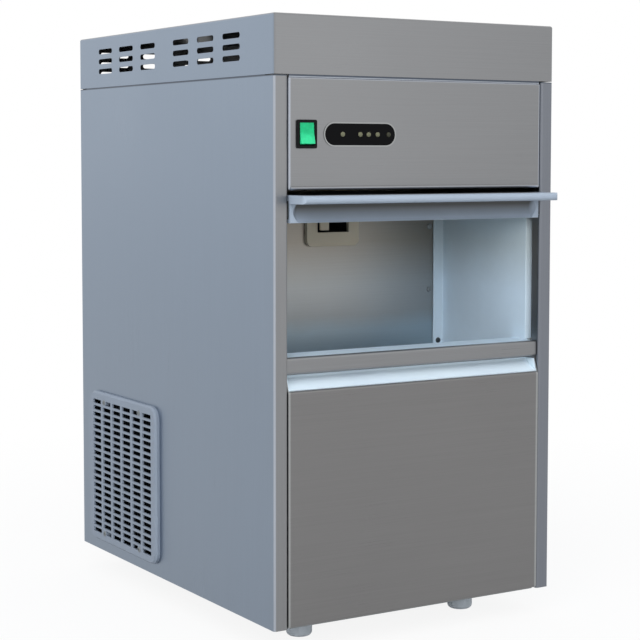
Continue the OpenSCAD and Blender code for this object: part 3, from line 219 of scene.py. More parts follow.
class Wiring:
    """Builds the nodes of one shader tree."""

    def __init__(self, tree):
        self.tree = tree

    def node(self, kind, settings=None, inputs=None, out=0):
        """Makes a node, sets it up, wires its inputs and gives one of its outputs."""
        made = self.tree.nodes.new("ShaderNode" + kind)
        for key, value in (settings or {}).items():
            setattr(made, key, value)
        for key, value in (inputs or {}).items():
            if isinstance(value, Signal):
                self.tree.links.new(value.socket, made.inputs[key])
            else:
                made.inputs[key].default_value = value
        return Signal(self.tree, made.outputs[out])

    def place(self, stretch=(1.0, 1.0, 1.0)):
        """Object coordinates, stretched."""
        coords = self.node("TexCoord", out="Object")
        return self.node("Mapping", None, {"Vector": coords, "Scale": stretch})

    def noise(self, scale, detail=3.0, rough=0.55, stretch=(1.0, 1.0, 1.0)):
        """Noise fixed to the piece."""
        return self.node(
            "TexNoise", None,
            {"Vector": self.place(stretch), "Scale": scale, "Detail": detail, "Roughness": rough})

    def cells(self, scale, out):
        """Cells fixed to the piece."""
        return self.node(
            "TexVoronoi", {"feature": "F1"}, {"Vector": self.place(), "Scale": scale}, out=out)

    def clear(self, value, low, high):
        """Stretches the part of a value from low to high over 0 to 1."""
        return self.node(
            "MapRange", {"clamp": True}, {"Value": value, "From Min": low, "From Max": high})

    def blend(self, share, first, second):
        """Mixes two colours."""
        return self.node(
            "Mix", {"data_type": "RGBA"},
            {MIX_SHARE: share, MIX_FIRST: first, MIX_SECOND: second}, out=MIX_RESULT)

    def seen(self, mirror=1.0):
        """One for rays from the camera and from glass, a share for those from metal."""
        camera = self.node("LightPath", out="Is Camera Ray")
        glossy = self.node("LightPath", out="Is Glossy Ray")
        transmission = self.node("LightPath", out="Is Transmission Ray")
        return camera + glossy * mirror + transmission

    def axis(self, letter):
        """One object coordinate."""
        return self.node("SeparateXYZ", None, {"Vector": self.place()}, out=letter)

    def past(self, letter, edge, fade, mirrored=False):
        """A mask along one axis that starts and is full at two distances from an edge."""
        along = self.axis(letter)
        if mirrored:
            along = along.maths("ABSOLUTE", along, 0.0)
        start, full = fade
        return self.clear(along, edge + start, edge + full)

    def either(self, first, second):
        """The larger of two masks."""
        return first.maths("MAXIMUM", first, second)


class Finish(Wiring):
    """Builds one material round its surface shader."""

    def __init__(self, name, **constants):
        self.material = bpy.data.materials.new(name)
        self.material.use_nodes = True
        super().__init__(self.material.node_tree)
        self.shader = self.tree.nodes["Principled BSDF"]
        for key, value in constants.items():
            socket = key.replace("_", " ").title().replace("Ior", "IOR")
            self.shader.inputs[socket].default_value = value

    def feed(self, socket, signal):
        """Wires a value into the surface shader."""
        self.tree.links.new(signal.socket, self.shader.inputs[socket])

    def roughen(self, level, *parts):
        """Roughness about a level, moved by noises with a share each."""
        for noise, share in parts:
            level = level + (noise - NOISE_MIDDLE) * share
        self.feed("Roughness", level)

    def relief(self, height, depth, strength):
        """Raises the surface by a height map."""
        bump = self.node(
            "Bump", None, {"Height": height, "Distance": depth, "Strength": strength})
        self.feed("Normal", bump)

    def tones(self, share, base, low, high, zones=()):
        """A colour between two shades of a base, and of other bases in their zones."""
        tint = self.blend(share, shade(base, low), shade(base, high))
        for other, zone in zones:
            patch = self.blend(share, shade(other, low), shade(other, high))
            tint = self.blend(zone(self), tint, patch)
        return tint


def shade(base, factor):
    """A colour made lighter or darker, with full alpha."""
    return tuple(min(1.0, part * factor) for part in base) + (1.0,)


def brushed(name, base, along, roughness=0.34, zones=()):
    """Sheet steel with brush lines along one axis and faint handling marks."""
    look = bpy.context.scene.ice_finish
    across, lengthwise = 1 / look.grain_width, 1 / look.grain_length
    grain = [lengthwise if letter == along else across for letter in "XYZ"]
    finish = Finish(name, metallic=1.0)
    lines = finish.noise(1.0, detail=2.0, stretch=grain)
    marks = finish.noise(7.0, detail=5.0, rough=0.6)
    tone = finish.clear(lines * 0.75 + marks * 0.25, low=0.3, high=0.7)
    finish.feed("Base Color", finish.tones(tone, base, low=0.95, high=1.05, zones=zones))
    finish.roughen(roughness, (lines, 0.22), (marks, 0.16))
    finish.relief(lines, depth=0.00003, strength=0.35)
    return finish.material


def polished(name, base, roughness=0.22):
    """Bright metal with fine turning marks and faint stains."""
    finish = Finish(name, metallic=1.0)
    stains = finish.noise(14.0, detail=6.0, rough=0.62)
    fine = finish.noise(1.0, detail=2.0, stretch=(300.0, 300.0, 900.0))
    tone = finish.clear(stains, low=0.3, high=0.75)
    finish.feed("Base Color", finish.tones(tone, base, low=0.9, high=1.08))
    finish.roughen(roughness, (stains, 0.18), (fine, 0.08))
    return finish.material


def moulded(name, base, roughness, pebble=0.0009, depth=0.00004, gloss=0.5, zones=()):
    """Moulded plastic with a fine pebbled skin and slight clouding."""
    finish = Finish(name, specular_ior_level=gloss)
    skin = finish.noise(1 / pebble, detail=2.0)
    clouds = finish.noise(11.0, detail=5.0, rough=0.6)
    tone = finish.clear(clouds, low=0.3, high=0.75)
    finish.feed("Base Color", finish.tones(tone, base, low=0.94, high=1.04, zones=zones))
    finish.roughen(roughness, (clouds, 0.2), (skin, 0.1))
    finish.relief(skin, depth=depth, strength=0.4)
    return finish.material


def painted(name, base, roughness=0.4):
    """Sprayed enamel with orange peel and a little dust."""
    finish = Finish(name, coat_weight=0.25, coat_roughness=0.15)
    peel = finish.noise(420.0, detail=2.0)
    dust = finish.noise(26.0, detail=6.0, rough=0.65)
    tone = finish.clear(dust, low=0.4, high=0.8)
    finish.feed("Base Color", finish.tones(tone, base, low=0.95, high=1.12))
    finish.roughen(roughness, (dust, 0.3))
    finish.relief(peel, depth=0.00008, strength=0.4)
    return finish.material


def spangled(name, base):
    """Zinc coating with its crystal flakes."""
    finish = Finish(name, metallic=1.0)
    flake = finish.node("SeparateColor", None, {"Color": finish.cells(90.0, out="Color")})
    stains = finish.noise(9.0, detail=5.0)
    tone = flake * 0.6 + stains * 0.4
    finish.feed("Base Color", finish.tones(tone, base, low=0.82, high=1.12))
    finish.roughen(0.46, (flake, 0.16))
    return finish.material


def drawn_copper(name, base):
    """Copper tube, dulled where it has been handled and heated."""
    finish = Finish(name, metallic=1.0)
    tarnish = finish.noise(38.0, detail=6.0, rough=0.65)
    tone = finish.clear(tarnish, low=0.42, high=0.7)
    finish.feed("Base Color", finish.tones(tone, base, low=1.05, high=0.55))
    finish.roughen(0.39, (tarnish, 0.3))
    return finish.material


def cellular(name, base):
    """Cut foam with open cells."""
    finish = Finish(name, roughness=0.9)
    cells = finish.cells(520.0, out="Distance")
    patches = finish.noise(18.0, detail=4.0)
    tone = finish.clear(cells * 0.7 + patches * 0.5, low=0.2, high=0.8)
    finish.feed("Base Color", finish.tones(tone, base, low=0.72, high=1.05))
    finish.relief(cells, depth=0.0008, strength=0.6)
    return finish.material


def lit(name, base, glow, zones=()):
    """Translucent moulding with a lamp behind it, unevenly bright."""
    finish = Finish(
        name, roughness=0.28, specular_ior_level=0.2, coat_weight=0.1, emission_strength=glow)
    tone = finish.clear(finish.noise(160.0), low=0.3, high=0.7)
    tint = finish.tones(tone, base, low=0.85, high=1.1, zones=zones)
    finish.feed("Base Color", tint)
    finish.feed("Emission Color", tint)
    return finish.material


def new_piece(name, shape, body, materials, replaced=()):
    """Makes an object at the origin from a bmesh and lets it ride on a body."""
    mesh = bpy.data.meshes.new(name)
    shape.to_mesh(mesh)
    shape.free()
    piece = bpy.data.objects.new(name, mesh)
    bpy.context.scene.collection.objects.link(piece)
    for material in materials:
        mesh.materials.append(material)
    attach(piece, body)
    if replaced:
        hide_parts(*replaced)


def cut(shape, point, normal, clear_outer=False):
    """Cuts a whole shape along a plane."""
    bmesh.ops.bisect_plane(
        shape, geom=shape.verts[:] + shape.edges[:] + shape.faces[:],
        plane_co=point, plane_no=normal, clear_outer=clear_outer)


def sink(shape, geometry, depth):
    """Moves the points of some geometry down."""
    points = [part for part in geometry if isinstance(part, bmesh.types.BMVert)]
    bmesh.ops.translate(shape, verts=points, vec=(0, 0, -depth))


def close_up(shape, limit=SHARP_TURN):
    """Joins points that coincide, turns faces outward and smooths all but the sharp edges."""
    bmesh.ops.remove_doubles(shape, verts=shape.verts, dist=SAME_POINT)
    bmesh.ops.recalc_face_normals(shape, faces=shape.faces)
    for face in shape.faces:
        face.smooth = True
    for edge in shape.edges:
        edge.smooth = edge.calc_face_angle(0.0) < limit


def cross_head(radius, height):
    """One pan-head screw with a cross recess, standing on the XY plane."""
    crown = radius * 0.82
    slit, reach = radius * 0.13, radius * 0.5
    rounding, recess, flatness = height * 0.4, height * 0.55, height * 0.02
    shape = bmesh.new()
    bmesh.ops.create_cone(
        shape, cap_ends=True, segments=24, radius1=radius, radius2=crown, depth=height)
    bmesh.ops.translate(shape, verts=shape.verts, vec=(0, 0, height / 2))
    rim = [edge for edge in shape.edges if all(v.co.z > height / 2 for v in edge.verts)]
    bmesh.ops.bevel(
        shape, geom=rim, offset=rounding, segments=3, profile=0.5, affect="EDGES", material=-1)
    for axis in (Vector((1, 0, 0)), Vector((0, 1, 0))):
        for level in (-reach, -slit, slit, reach):
            cut(shape, axis * level, axis)
    top = max(v.co.z for v in shape.verts)
    cross = []
    for face in shape.faces:
        middle = face.calc_center_median()
        near, far = sorted((abs(middle.x), abs(middle.y)))
        if middle.z > top - flatness and near < slit and far < reach:
            cross.append(face)
    sunk = bmesh.ops.extrude_face_region(shape, geom=cross)["geom"]
    bmesh.ops.delete(shape, geom=cross, context="FACES")
    sink(shape, sunk, recess)
    close_up(shape)
    return shape


def set_out(pattern, places):
    """Copies one shape to many places."""
    shape = bmesh.new()
    mesh = bpy.data.meshes.new("pattern")
    pattern.to_mesh(mesh)
    pattern.free()
    for place in places:
        fresh = len(shape.verts)
        shape.from_mesh(mesh)
        shape.verts.ensure_lookup_table()
        bmesh.ops.transform(shape, matrix=place, verts=shape.verts[fresh:])
    bpy.data.meshes.remove(mesh)
    return shape


def screws(name, spots, direction, height, material, replaced=()):
    """Cross-head screws standing on a face."""
    radius = bpy.context.scene.ice_fitting.screw_radius
    turn = Vector(direction).to_track_quat("Z", "Y").to_matrix().to_4x4()
    places = [Matrix.Translation(spot) @ turn for spot in spots]
    heads = set_out(cross_head(radius, height), places)
    new_piece(name, heads, "cabinet", [material], replaced)


def soften(names, width, steps):
    """Rounds the sharp edges of CAD nodes for the eye."""
    for name in names:
        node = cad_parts[name]
        weld = node.modifiers.new("join", "WELD")
        weld.merge_threshold = WELD_REACH
        bevel = node.modifiers.new("edges", "BEVEL")
        bevel.width = width
        bevel.segments = steps
        bevel.limit_method = "ANGLE"
        bevel.angle_limit = SHARP_TURN
        bevel.harden_normals = True


def wear(names, material):
    """Gives CAD nodes their finish."""
    for name in names:
        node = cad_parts[name]
        node.data.materials.clear()
        node.data.materials.append(material)


class ICE_OT_stage(bpy.types.Operator):
    """Camera, floor, world and lamps"""

    bl_idname = "ice.stage"
    bl_label = "Stage"

    # Name, place, side, watts, tint and whether metal mirrors the lamp
    LAMPS = (
        ("key", (-1.8, -2.6, 2.4), 4.2, 64.0, (1.0, 1.0, 1.0), False),
        ("low", (-2.1, -2.3, 1.45), 1.5, 26.0, (0.96, 0.98, 1.0), False),
        ("front", (1.1, -3.0, 1.1), 1.6, 2.5, (1.0, 1.0, 1.0), True),
        ("sky", (-1.7, 2.5, 0.6), 3.0, 2.0, (0.6, 0.8, 1.0), True),
    )
    LAMPS_AIM = (0.0, 0.0, 0.35)
    PAPER = (0.95, 0.95, 0.95, 1.0)
    AMBIENT_TINT = (0.94, 0.97, 1.0, 1.0)
    # Share of the shadow's reach in which it is full
    SHADOW_CORE = 0.4
    # Parts of a direction to the right and to the front in which the backdrop darkens
    TO_RIGHT = (0.46, 0.7)
    TO_FRONT = (-0.2, -0.5)

    def execute(self, context):
        stage = context.scene.ice_stage
        context.scene.view_settings.view_transform = "Standard"
        self.camera(context, stage)
        self.floor(context, stage)
        self.world(context, stage)
        self.lamps(context)
        return {"FINISHED"}

    def camera(self, context, stage):
        """Camera in the photo's place."""
        data = bpy.data.cameras.new("camera")
        data.lens = stage.lens
        data.sensor_width = 36.0
        data.shift_y = stage.shift
        data.clip_end = 100.0
        camera = bpy.data.objects.new("camera", data)
        camera.location = stage.camera_place
        camera.rotation_euler = stage.camera_turn
        context.scene.collection.objects.link(camera)
        context.scene.camera = camera

    def floor(self, context, stage):
        """Paper that is plain white to the camera, with a faint shadow near the machine."""
        shape = bmesh.new()
        bmesh.ops.create_grid(shape, x_segments=1, y_segments=1, size=stage.floor_size / 2)
        mesh = bpy.data.meshes.new("floor")
        shape.to_mesh(mesh)
        shape.free()
        floor = bpy.data.objects.new("floor", mesh)
        context.scene.collection.objects.link(floor)
        finish = Finish("floor_paper", roughness=0.9)
        finish.feed("Base Color", finish.blend(
            finish.node("LightPath", out="Is Camera Ray"), shade(stage.floor_tone, 1.0),
            self.PAPER))
        white = finish.node("Emission", None, {"Color": WHITE, "Strength": 1.0})
        distance = finish.node(
            "VectorMath", {"operation": "LENGTH"}, {0: finish.place()}, out="Value")
        reach = stage.shadow_reach
        near = 1 - finish.clear(distance, reach * self.SHADOW_CORE, reach)
        mixed = finish.node(
            "MixShader", None,
            {0: finish.seen(stage.floor_mirror) * (1 - near * stage.shadow),
             1: Signal(finish.tree, finish.shader.outputs[0]), 2: white})
        output = finish.tree.nodes["Material Output"]
        finish.tree.links.new(mixed.socket, output.inputs["Surface"])
        mesh.materials.append(finish.material)

    def world(self, context, stage):
        """Soft light all round, and a white backdrop that darkens to the front right."""
        world = bpy.data.worlds.new("studio")
        world.use_nodes = True
        context.scene.world = world
        studio = Wiring(world.node_tree)
        soft = studio.node(
            "Background", None, {"Color": self.AMBIENT_TINT, "Strength": stage.ambient})
        towards = {"Vector": studio.node("TexCoord", out="Generated")}
        right = studio.clear(
            studio.node("SeparateXYZ", None, towards, out="X"), *self.TO_RIGHT)
        front = studio.clear(
            studio.node("SeparateXYZ", None, towards, out="Y"), *self.TO_FRONT)
        white = studio.node(
            "Background", None,
            {"Color": WHITE, "Strength": 1 - right * front * stage.right_fall})
        mixed = studio.node("MixShader", None, {0: studio.seen(), 1: soft, 2: white})
        output = studio.tree.nodes["World Output"]
        studio.tree.links.new(mixed.socket, output.inputs["Surface"])

    def lamps(self, context):
        """Square lamps that the camera doesn't see."""
        for name, place, side, watts, tint, mirrored in self.LAMPS:
            data = bpy.data.lights.new(name, "AREA")
            data.size = side
            data.energy = watts
            data.color = tint
            lamp = bpy.data.objects.new(name, data)
            lamp.location = place
            lamp.visible_camera = False
            lamp.visible_glossy = mirrored
            aim = Vector(self.LAMPS_AIM) - Vector(place)
            lamp.rotation_euler = aim.to_track_quat("-Z", "Y").to_euler()
            context.scene.collection.objects.link(lamp)


class CabinetZones:
    """Masks for the parts of the cabinet's sheets that look different from the rest: painted
    highlights, painted shade and painted light among them.
    """

    # Distances from its edge at which each zone starts and is full
    FLANK = (-0.0012, -0.0004)
    WINDOW_RAISED = (-0.0002, -0.0006)
    WINDOW_FOOT = (-0.005, -0.004)
    WINDOW_HEAD = (0.005, 0.004)
    GRIP_NOSE = (0.004, 0.0)
    CAP_SEAM_SHADE = (-0.0024, -0.0016)
    SIDE_RIM = (-0.0032, -0.002)
    PANEL_FOOT = (0.003, 0.0018)
    PANEL_HEAD = (-0.0048, -0.0038)
    BEND_SIDE = (0.0026, 0.0016)
    BEND_FRONT = (0.0024, 0.0014)
    RETURN_SIDE = (0.0009, 0.0005)
    RETURN_FOOT = (-0.001, 0.0)
    STRIP_SIDE = (0.0, 0.0004)
    STRIP_FRONT = (0.004, 0.003)

    def __init__(self):
        self.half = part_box("right_side_panel")[1].x
        self.panel_edge = -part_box("left_side_panel")[1].x
        self.panel_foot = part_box("control_panel")[0].z
        self.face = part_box("lower_front_panel")[0].y
        self.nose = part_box("finger_grip")[0].z
        self.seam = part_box("top_cover")[0].z
        self.window_foot, self.window_head = (corner.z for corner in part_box("indicator_window"))

    def flank_light(self, finish):
        """Outer faces of both sides, which take a bluish tint painted as light from the left."""
        return finish.past("X", self.half, self.FLANK, mirrored=True)

    def window_rim_highlight(self, finish):
        """Raised rim round the indicator window, which takes a painted highlight."""
        raised = finish.past("Y", self.face, self.WINDOW_RAISED)
        above = finish.past("Z", self.window_foot, self.WINDOW_FOOT)
        below = finish.past("Z", self.window_head, self.WINDOW_HEAD)
        return raised * above * below

    def lower_face(self, finish):
        """Front below the finger grip."""
        return finish.past("Z", self.nose, self.GRIP_NOSE)

    def cap_seam_shade(self, finish):
        """Edge in the seam under the cap, which takes painted shade."""
        return finish.past("Z", self.seam, self.CAP_SEAM_SHADE)

    def side_rim(self, finish):
        """Upright edges of a front panel."""
        return finish.past("X", self.panel_edge, self.SIDE_RIM, mirrored=True)

    def panel_rim_highlight(self, finish):
        """All four edges of the control panel, which take a painted highlight."""
        foot = finish.past("Z", self.panel_foot, self.PANEL_FOOT)
        head = finish.past("Z", self.seam, self.PANEL_HEAD)
        return finish.either(self.side_rim(finish), finish.either(foot, head))

    def lower_rim_highlight(self, finish):
        """Upright edges of the lower panel, which take a painted highlight."""
        return self.side_rim(finish) * self.lower_face(finish)

    def left_bend_highlight(self, finish):
        """Bend from the left side to the front, which takes a painted highlight."""
        side = finish.past("X", -self.half, self.BEND_SIDE)
        return side * finish.past("Y", self.face, self.BEND_FRONT)

    def strip_return_highlight(self, finish):
        """Inner edges of the front strips, beside the panels, which take a painted highlight."""
        inner = finish.past("X", self.panel_edge, self.RETURN_SIDE, mirrored=True)
        above = finish.past("Z", self.panel_foot, self.RETURN_FOOT)
        return inner * finish.either(above, self.lower_face(finish))

    def right_front_shade(self, finish):
        """Front strip of the right side, which takes painted shade."""
        outer = finish.past("X", self.panel_edge, self.STRIP_SIDE)
        return outer * finish.past("Y", self.face, self.STRIP_FRONT)


class ICE_OT_cabinet(bpy.types.Operator):
    """Steel sheets of the cabinet with their screws, feet and finger grip"""

    bl_idname = "ice.cabinet"
    bl_label = "Cabinet"

    SCREW_INSET = 0.009
    SCREW_SHARES = (0.05, 0.36, 0.66, 0.95)
    CAP_SCREW_RISE = 0.012

    def execute(self, context):
        look = context.scene.ice_finish
        size = context.scene.ice_fitting
        zones = CabinetZones()
        # Painted highlights on the window's rim and the panel's four edges, painted shade in the
        # seam under the cap
        wear(("control_panel",), brushed(
            "steel_control", look.steel, "X",
            zones=[(look.bright_steel, zones.window_rim_highlight), (look.edge, zones.panel_rim_highlight),
                   (look.seam, zones.cap_seam_shade)]))
        wear(("door_skin",), brushed("steel_door", look.steel, "X"))
        # Painted shade on the face below the grip, painted highlights on its upright edges
        wear(("lower_front_panel",), brushed(
            "steel_lower", look.steel, "X",
            zones=[(look.lower_shade_steel, zones.lower_face), (look.bright_steel, zones.lower_rim_highlight)]))
        # Painted light: a bluish tint on the cap's sides
        wear(("top_cover",), brushed(
            "steel_top", look.steel, "X", zones=[(look.side_lit_steel, zones.flank_light)]))
        # Painted light: a bluish tint on the outer faces; painted highlights on the left bend and
        # the strip returns; painted shade on the right strip and in the seam under the cap
        wear(("left_side_panel", "right_side_panel"), brushed(
            "steel_side", look.steel, "Z",
            zones=[(look.side_lit_steel, zones.flank_light), (look.edge, zones.left_bend_highlight),
                   (look.edge, zones.strip_return_highlight), (look.right_strip_shade, zones.right_front_shade),
                   (look.seam, zones.cap_seam_shade)]))
        wear(("back_panel",), brushed("steel_back", look.steel, "Z", roughness=0.42))
        wear(("base_pan", "machine_shelf"), spangled("zinc", look.galvanised))
        self.casing_screws(look, size)
        wear(("foot_front_left", "foot_front_right", "foot_rear_left", "foot_rear_right"),
             moulded("foot_plastic", look.foot, roughness=0.5))
        wear(("finger_grip",), moulded("grip_plastic", look.grip, roughness=0.4))
        soften(("lower_front_panel",), width=0.0003, steps=size.edge_steps)
        return {"FINISHED"}

    def casing_screws(self, look, size):
        """Screws that hold the back panel and the cap."""
        low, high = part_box("right_side_panel")
        cap_low, cap_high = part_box("top_cover")
        edge = high.x - self.SCREW_INSET
        steel = polished("casing_screw_steel", look.bright_steel, roughness=0.3)
        spots = [
            (side * edge, high.y, low.z + (high.z - low.z) * share)
            for side in (-1, 1) for share in self.SCREW_SHARES]
        spots += [
            (side * edge, cap_high.y, cap_low.z + self.CAP_SCREW_RISE) for side in (-1, 1)]
        screws("casing_screws", spots, (0, 1, 0), size.screw_height, steel)


class ICE_OT_grille(bpy.types.Operator):
    """Air grille with its screws"""

    bl_idname = "ice.grille"
    bl_label = "Grille"

    def execute(self, context):
        look = context.scene.ice_finish
        size = context.scene.ice_fitting
        wear(("intake_grille",), moulded("grille_plastic", look.grille, roughness=0.5))
        steel = polished("grille_screw_steel", look.galvanised, roughness=0.4)
        wear(("grille_screws",), steel)
        low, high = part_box("grille_screws")
        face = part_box("intake_grille")[0].x
        inset = size.screw_radius
        spots = [
            (face, y, z)
            for y in (low.y + inset, high.y - inset)
            for z in (low.z + inset, high.z - inset)]
        screws("grille_screw_heads", spots, (-1, 0, 0), face - low.x, steel, ("grille_screws",))
        return {"FINISHED"}


class ICE_OT_bin(bpy.types.Operator):
    """Moulded bin with its back plate and screws, ice outlet and flap"""

    bl_idname = "ice.bin"
    bl_label = "Bin"

    # Distances at which two zones start and are full, from the outlet plate's foot and the sill
    TOP_SHADE = (-0.05, 0.005)
    FOOT_LIGHT = (0.023, 0.003)
    RIPPLE = 0.016
    # Screws of the back plate and of the liner's ledge: sideways, and their heights
    PLATE_X, PLATE_Z = 0.149, (0.22, 0.3796, 0.46)
    LEDGE_X, LEDGE_Z = 0.1615, (0.314, 0.4765)
    LEDGE_AHEAD = 0.003

    def execute(self, context):
        look = context.scene.ice_finish
        size = context.scene.ice_fitting
        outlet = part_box("ice_outlet_plate")[0].z

        # Painted shade: darker, greyer tops of the bin's walls and back plate
        def painted_top_shade(finish):
            return finish.past("Z", outlet, self.TOP_SHADE)

        wear(("bin_liner",), moulded(
            "liner_plastic", look.liner, roughness=0.38, pebble=0.0012, depth=0.00003,
            zones=[(look.liner_top_shade, painted_top_shade)]))
        wear(("ice_outlet_plate", "bin_full_flap"),
             moulded("outlet_plastic", look.outlet, roughness=0.42))
        wear(("ice_spout",), moulded("spout_plastic", look.black_plastic, roughness=0.6))
        wear(("flap_pin",), polished("flap_pin_steel", look.bright_steel))
        self.back_plate(look, size, painted_top_shade)
        wear(("bin_insulation",), cellular("bin_foam", look.foam))
        wear(("bin_drain_pipe",), moulded("drain_plastic", look.grey_plastic, roughness=0.5))
        soften(("bin_liner", "ice_outlet_plate"), width=0.001, steps=size.edge_steps)
        return {"FINISHED"}

    def back_plate(self, look, size, painted_top_shade):
        """Steel plate behind the bin, with painted light along its foot and painted shade at its
        top, and its screws.
        """
        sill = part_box("lower_front_panel")[1].z
        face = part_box("bin_back_plate")[0].y

        # Painted light: a lighter, bluish band with a rippled edge along the plate's foot
        def painted_foot_light(finish):
            ripple = (finish.noise(16.0, detail=4.0) - NOISE_MIDDLE) * self.RIPPLE
            start, full = self.FOOT_LIGHT
            return finish.clear(finish.axis("Z") + ripple, sill + start, sill + full)

        wear(("bin_back_plate", "bin_ceiling"), brushed(
            "steel_bin", look.bright_steel, "X", roughness=0.4,
            zones=[(look.top_shade_steel, painted_top_shade), (look.foot_light, painted_foot_light)]))
        steel = polished("plate_screw_steel", look.bright_steel, roughness=0.3)
        spots = [(side * self.PLATE_X, face, z) for side in (-1, 1) for z in self.PLATE_Z]
        screws("plate_screws", spots, (0, -1, 0), size.screw_height, steel)
        dark_tone = shade(look.galvanised, 0.45)[:3]
        dark = polished("ledge_screw_steel", dark_tone, roughness=0.4)
        ledge = face - self.LEDGE_AHEAD
        spots = [(side * self.LEDGE_X, ledge, z) for side in (-1, 1) for z in self.LEDGE_Z]
        screws("ledge_screws", spots, (0, -1, 0), size.screw_height, dark)


class ICE_OT_door(bpy.types.Operator):
    """Door, handle, rod and rails"""

    bl_idname = "ice.door"
    bl_label = "Door"

    LIP_HEIGHT = 0.009
    # Distances from the lip's foot, the lip's front and the handle's ends for the painted shade in
    # the hollow under the lip
    COVE_UNDER = (-0.018, -0.004)
    COVE_BEHIND = (0.012, 0.018)
    COVE_BETWEEN = (-0.009, -0.013)

    def execute(self, context):
        look = context.scene.ice_finish
        size = context.scene.ice_fitting
        low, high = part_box("door_handle")

        # Painted shade: a dark tone in the hollow under the lip
        def cove_shade(finish):
            under = finish.past("Z", high.z - self.LIP_HEIGHT, self.COVE_UNDER)
            behind = finish.past("Y", low.y, self.COVE_BEHIND)
            between = finish.past("X", high.x, self.COVE_BETWEEN, mirrored=True)
            return under * behind * between

        wear(("door_handle",), moulded(
            "handle_plastic", look.grey_plastic, roughness=0.42, zones=[(look.cove_shade, cove_shade)]))
        wear(("door_core",), moulded("door_plastic", look.liner, roughness=0.45))
        wear(("door_rail_left", "door_rail_right"),
             moulded("rail_plastic", look.black_plastic, roughness=0.5))
        wear(("door_pivot_rod",), polished("rod_steel", look.bright_steel))
        soften(("door_handle",), width=size.edge_radius, steps=size.edge_steps)
        return {"FINISHED"}


class ICE_OT_controls(bpy.types.Operator):
    """Switch, indicator window and lamps"""

    bl_idname = "ice.controls"
    bl_label = "Controls"

    # Shares of the rocker's height at which its bright foot starts and is full
    ROCKER_FOOT = (0.6, 0.25)
    # Places of the lamps along their row
    LAMP_SHARES = (0.0, 0.3788, 0.5606, 0.7576, 1.0)
    UNLIT = 0.25

    def execute(self, context):
        look = context.scene.ice_finish
        size = context.scene.ice_fitting
        wear(("switch_bezel",),
             moulded("bezel_plastic", look.black_plastic, roughness=0.4, gloss=0.15))
        wear(("indicator_window",),
             moulded("window_plastic", look.black_plastic, roughness=0.3, gloss=0.07))
        foot, head = (corner.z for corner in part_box("switch_rocker"))

        def rocker_foot(finish):
            return finish.past("Z", foot, [(head - foot) * share for share in self.ROCKER_FOOT])

        wear(("switch_rocker",), lit(
            "rocker_plastic", look.rocker, glow=0.06, zones=[(look.rocker_foot, rocker_foot)]))
        wear(("control_box",), moulded("box_plastic", look.grey_plastic, roughness=0.55))
        self.lamp_lenses(look, size)
        soften(("switch_bezel", "switch_rocker"), width=0.0005, steps=size.edge_steps)
        return {"FINISHED"}

    def lamp_lenses(self, look, size):
        """Domed lenses of the indicator lamps, of which the last is unlit."""
        bright = moulded("lamp_plastic", look.lamp, roughness=0.25, gloss=0.25)
        unlit_tone = shade(look.lamp, self.UNLIT)[:3]
        unlit = moulded("unlit_lamp_plastic", unlit_tone, roughness=0.25, gloss=0.25)
        wear(("indicator_lamps",), bright)
        low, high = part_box("indicator_lamps")
        radius = (high.z - low.z) / 2
        span = high.x - low.x - 2 * radius
        middle = (low.z + high.z) / 2
        dome = bmesh.new()
        bmesh.ops.create_uvsphere(dome, u_segments=24, v_segments=16, radius=1.0)
        cut(dome, (0, 0, 0), (0, 0, -1), clear_outer=True)
        rim = [edge for edge in dome.edges if edge.is_boundary]
        stem = bmesh.ops.extrude_edge_only(dome, edges=rim)["geom"]
        bmesh.ops.scale(dome, verts=dome.verts, vec=(radius, radius, size.lens_height))
        sink(dome, stem, high.y - low.y)
        bmesh.ops.holes_fill(
            dome, edges=[edge for edge in dome.edges if edge.is_boundary], sides=0)
        close_up(dome)
        forward = Matrix.Rotation(math.radians(90), 4, "X")
        places = [
            Matrix.Translation((low.x + radius + span * share, low.y, middle)) @ forward
            for share in self.LAMP_SHARES]
        lenses = set_out(dome, places)
        for face in lenses.faces:
            face.material_index = int(face.calc_center_median().x > high.x - 2 * radius)
        new_piece("lamp_lenses", lenses, "cabinet", [bright, unlit], ("indicator_lamps",))


class ICE_OT_ice_maker(bpy.types.Operator):
    """Gear motor, evaporator, auger and ice head"""

    bl_idname = "ice.ice_maker"
    bl_label = "Ice Maker"

    def execute(self, context):
        look = context.scene.ice_finish
        wear(("gear_motor",), painted("gearbox_paint", look.enamel))
        wear(("lower_bearing",), polished("bearing_brass", look.brass, roughness=0.3))
        wear(("evaporator_tube", "auger", "ice_head"), polished("tube_steel", look.bright_steel))
        wear(("evaporator_coil",), drawn_copper("coil_copper", look.copper))
        wear(("evaporator_jacket",), cellular("jacket_foam", look.foam))
        return {"FINISHED"}


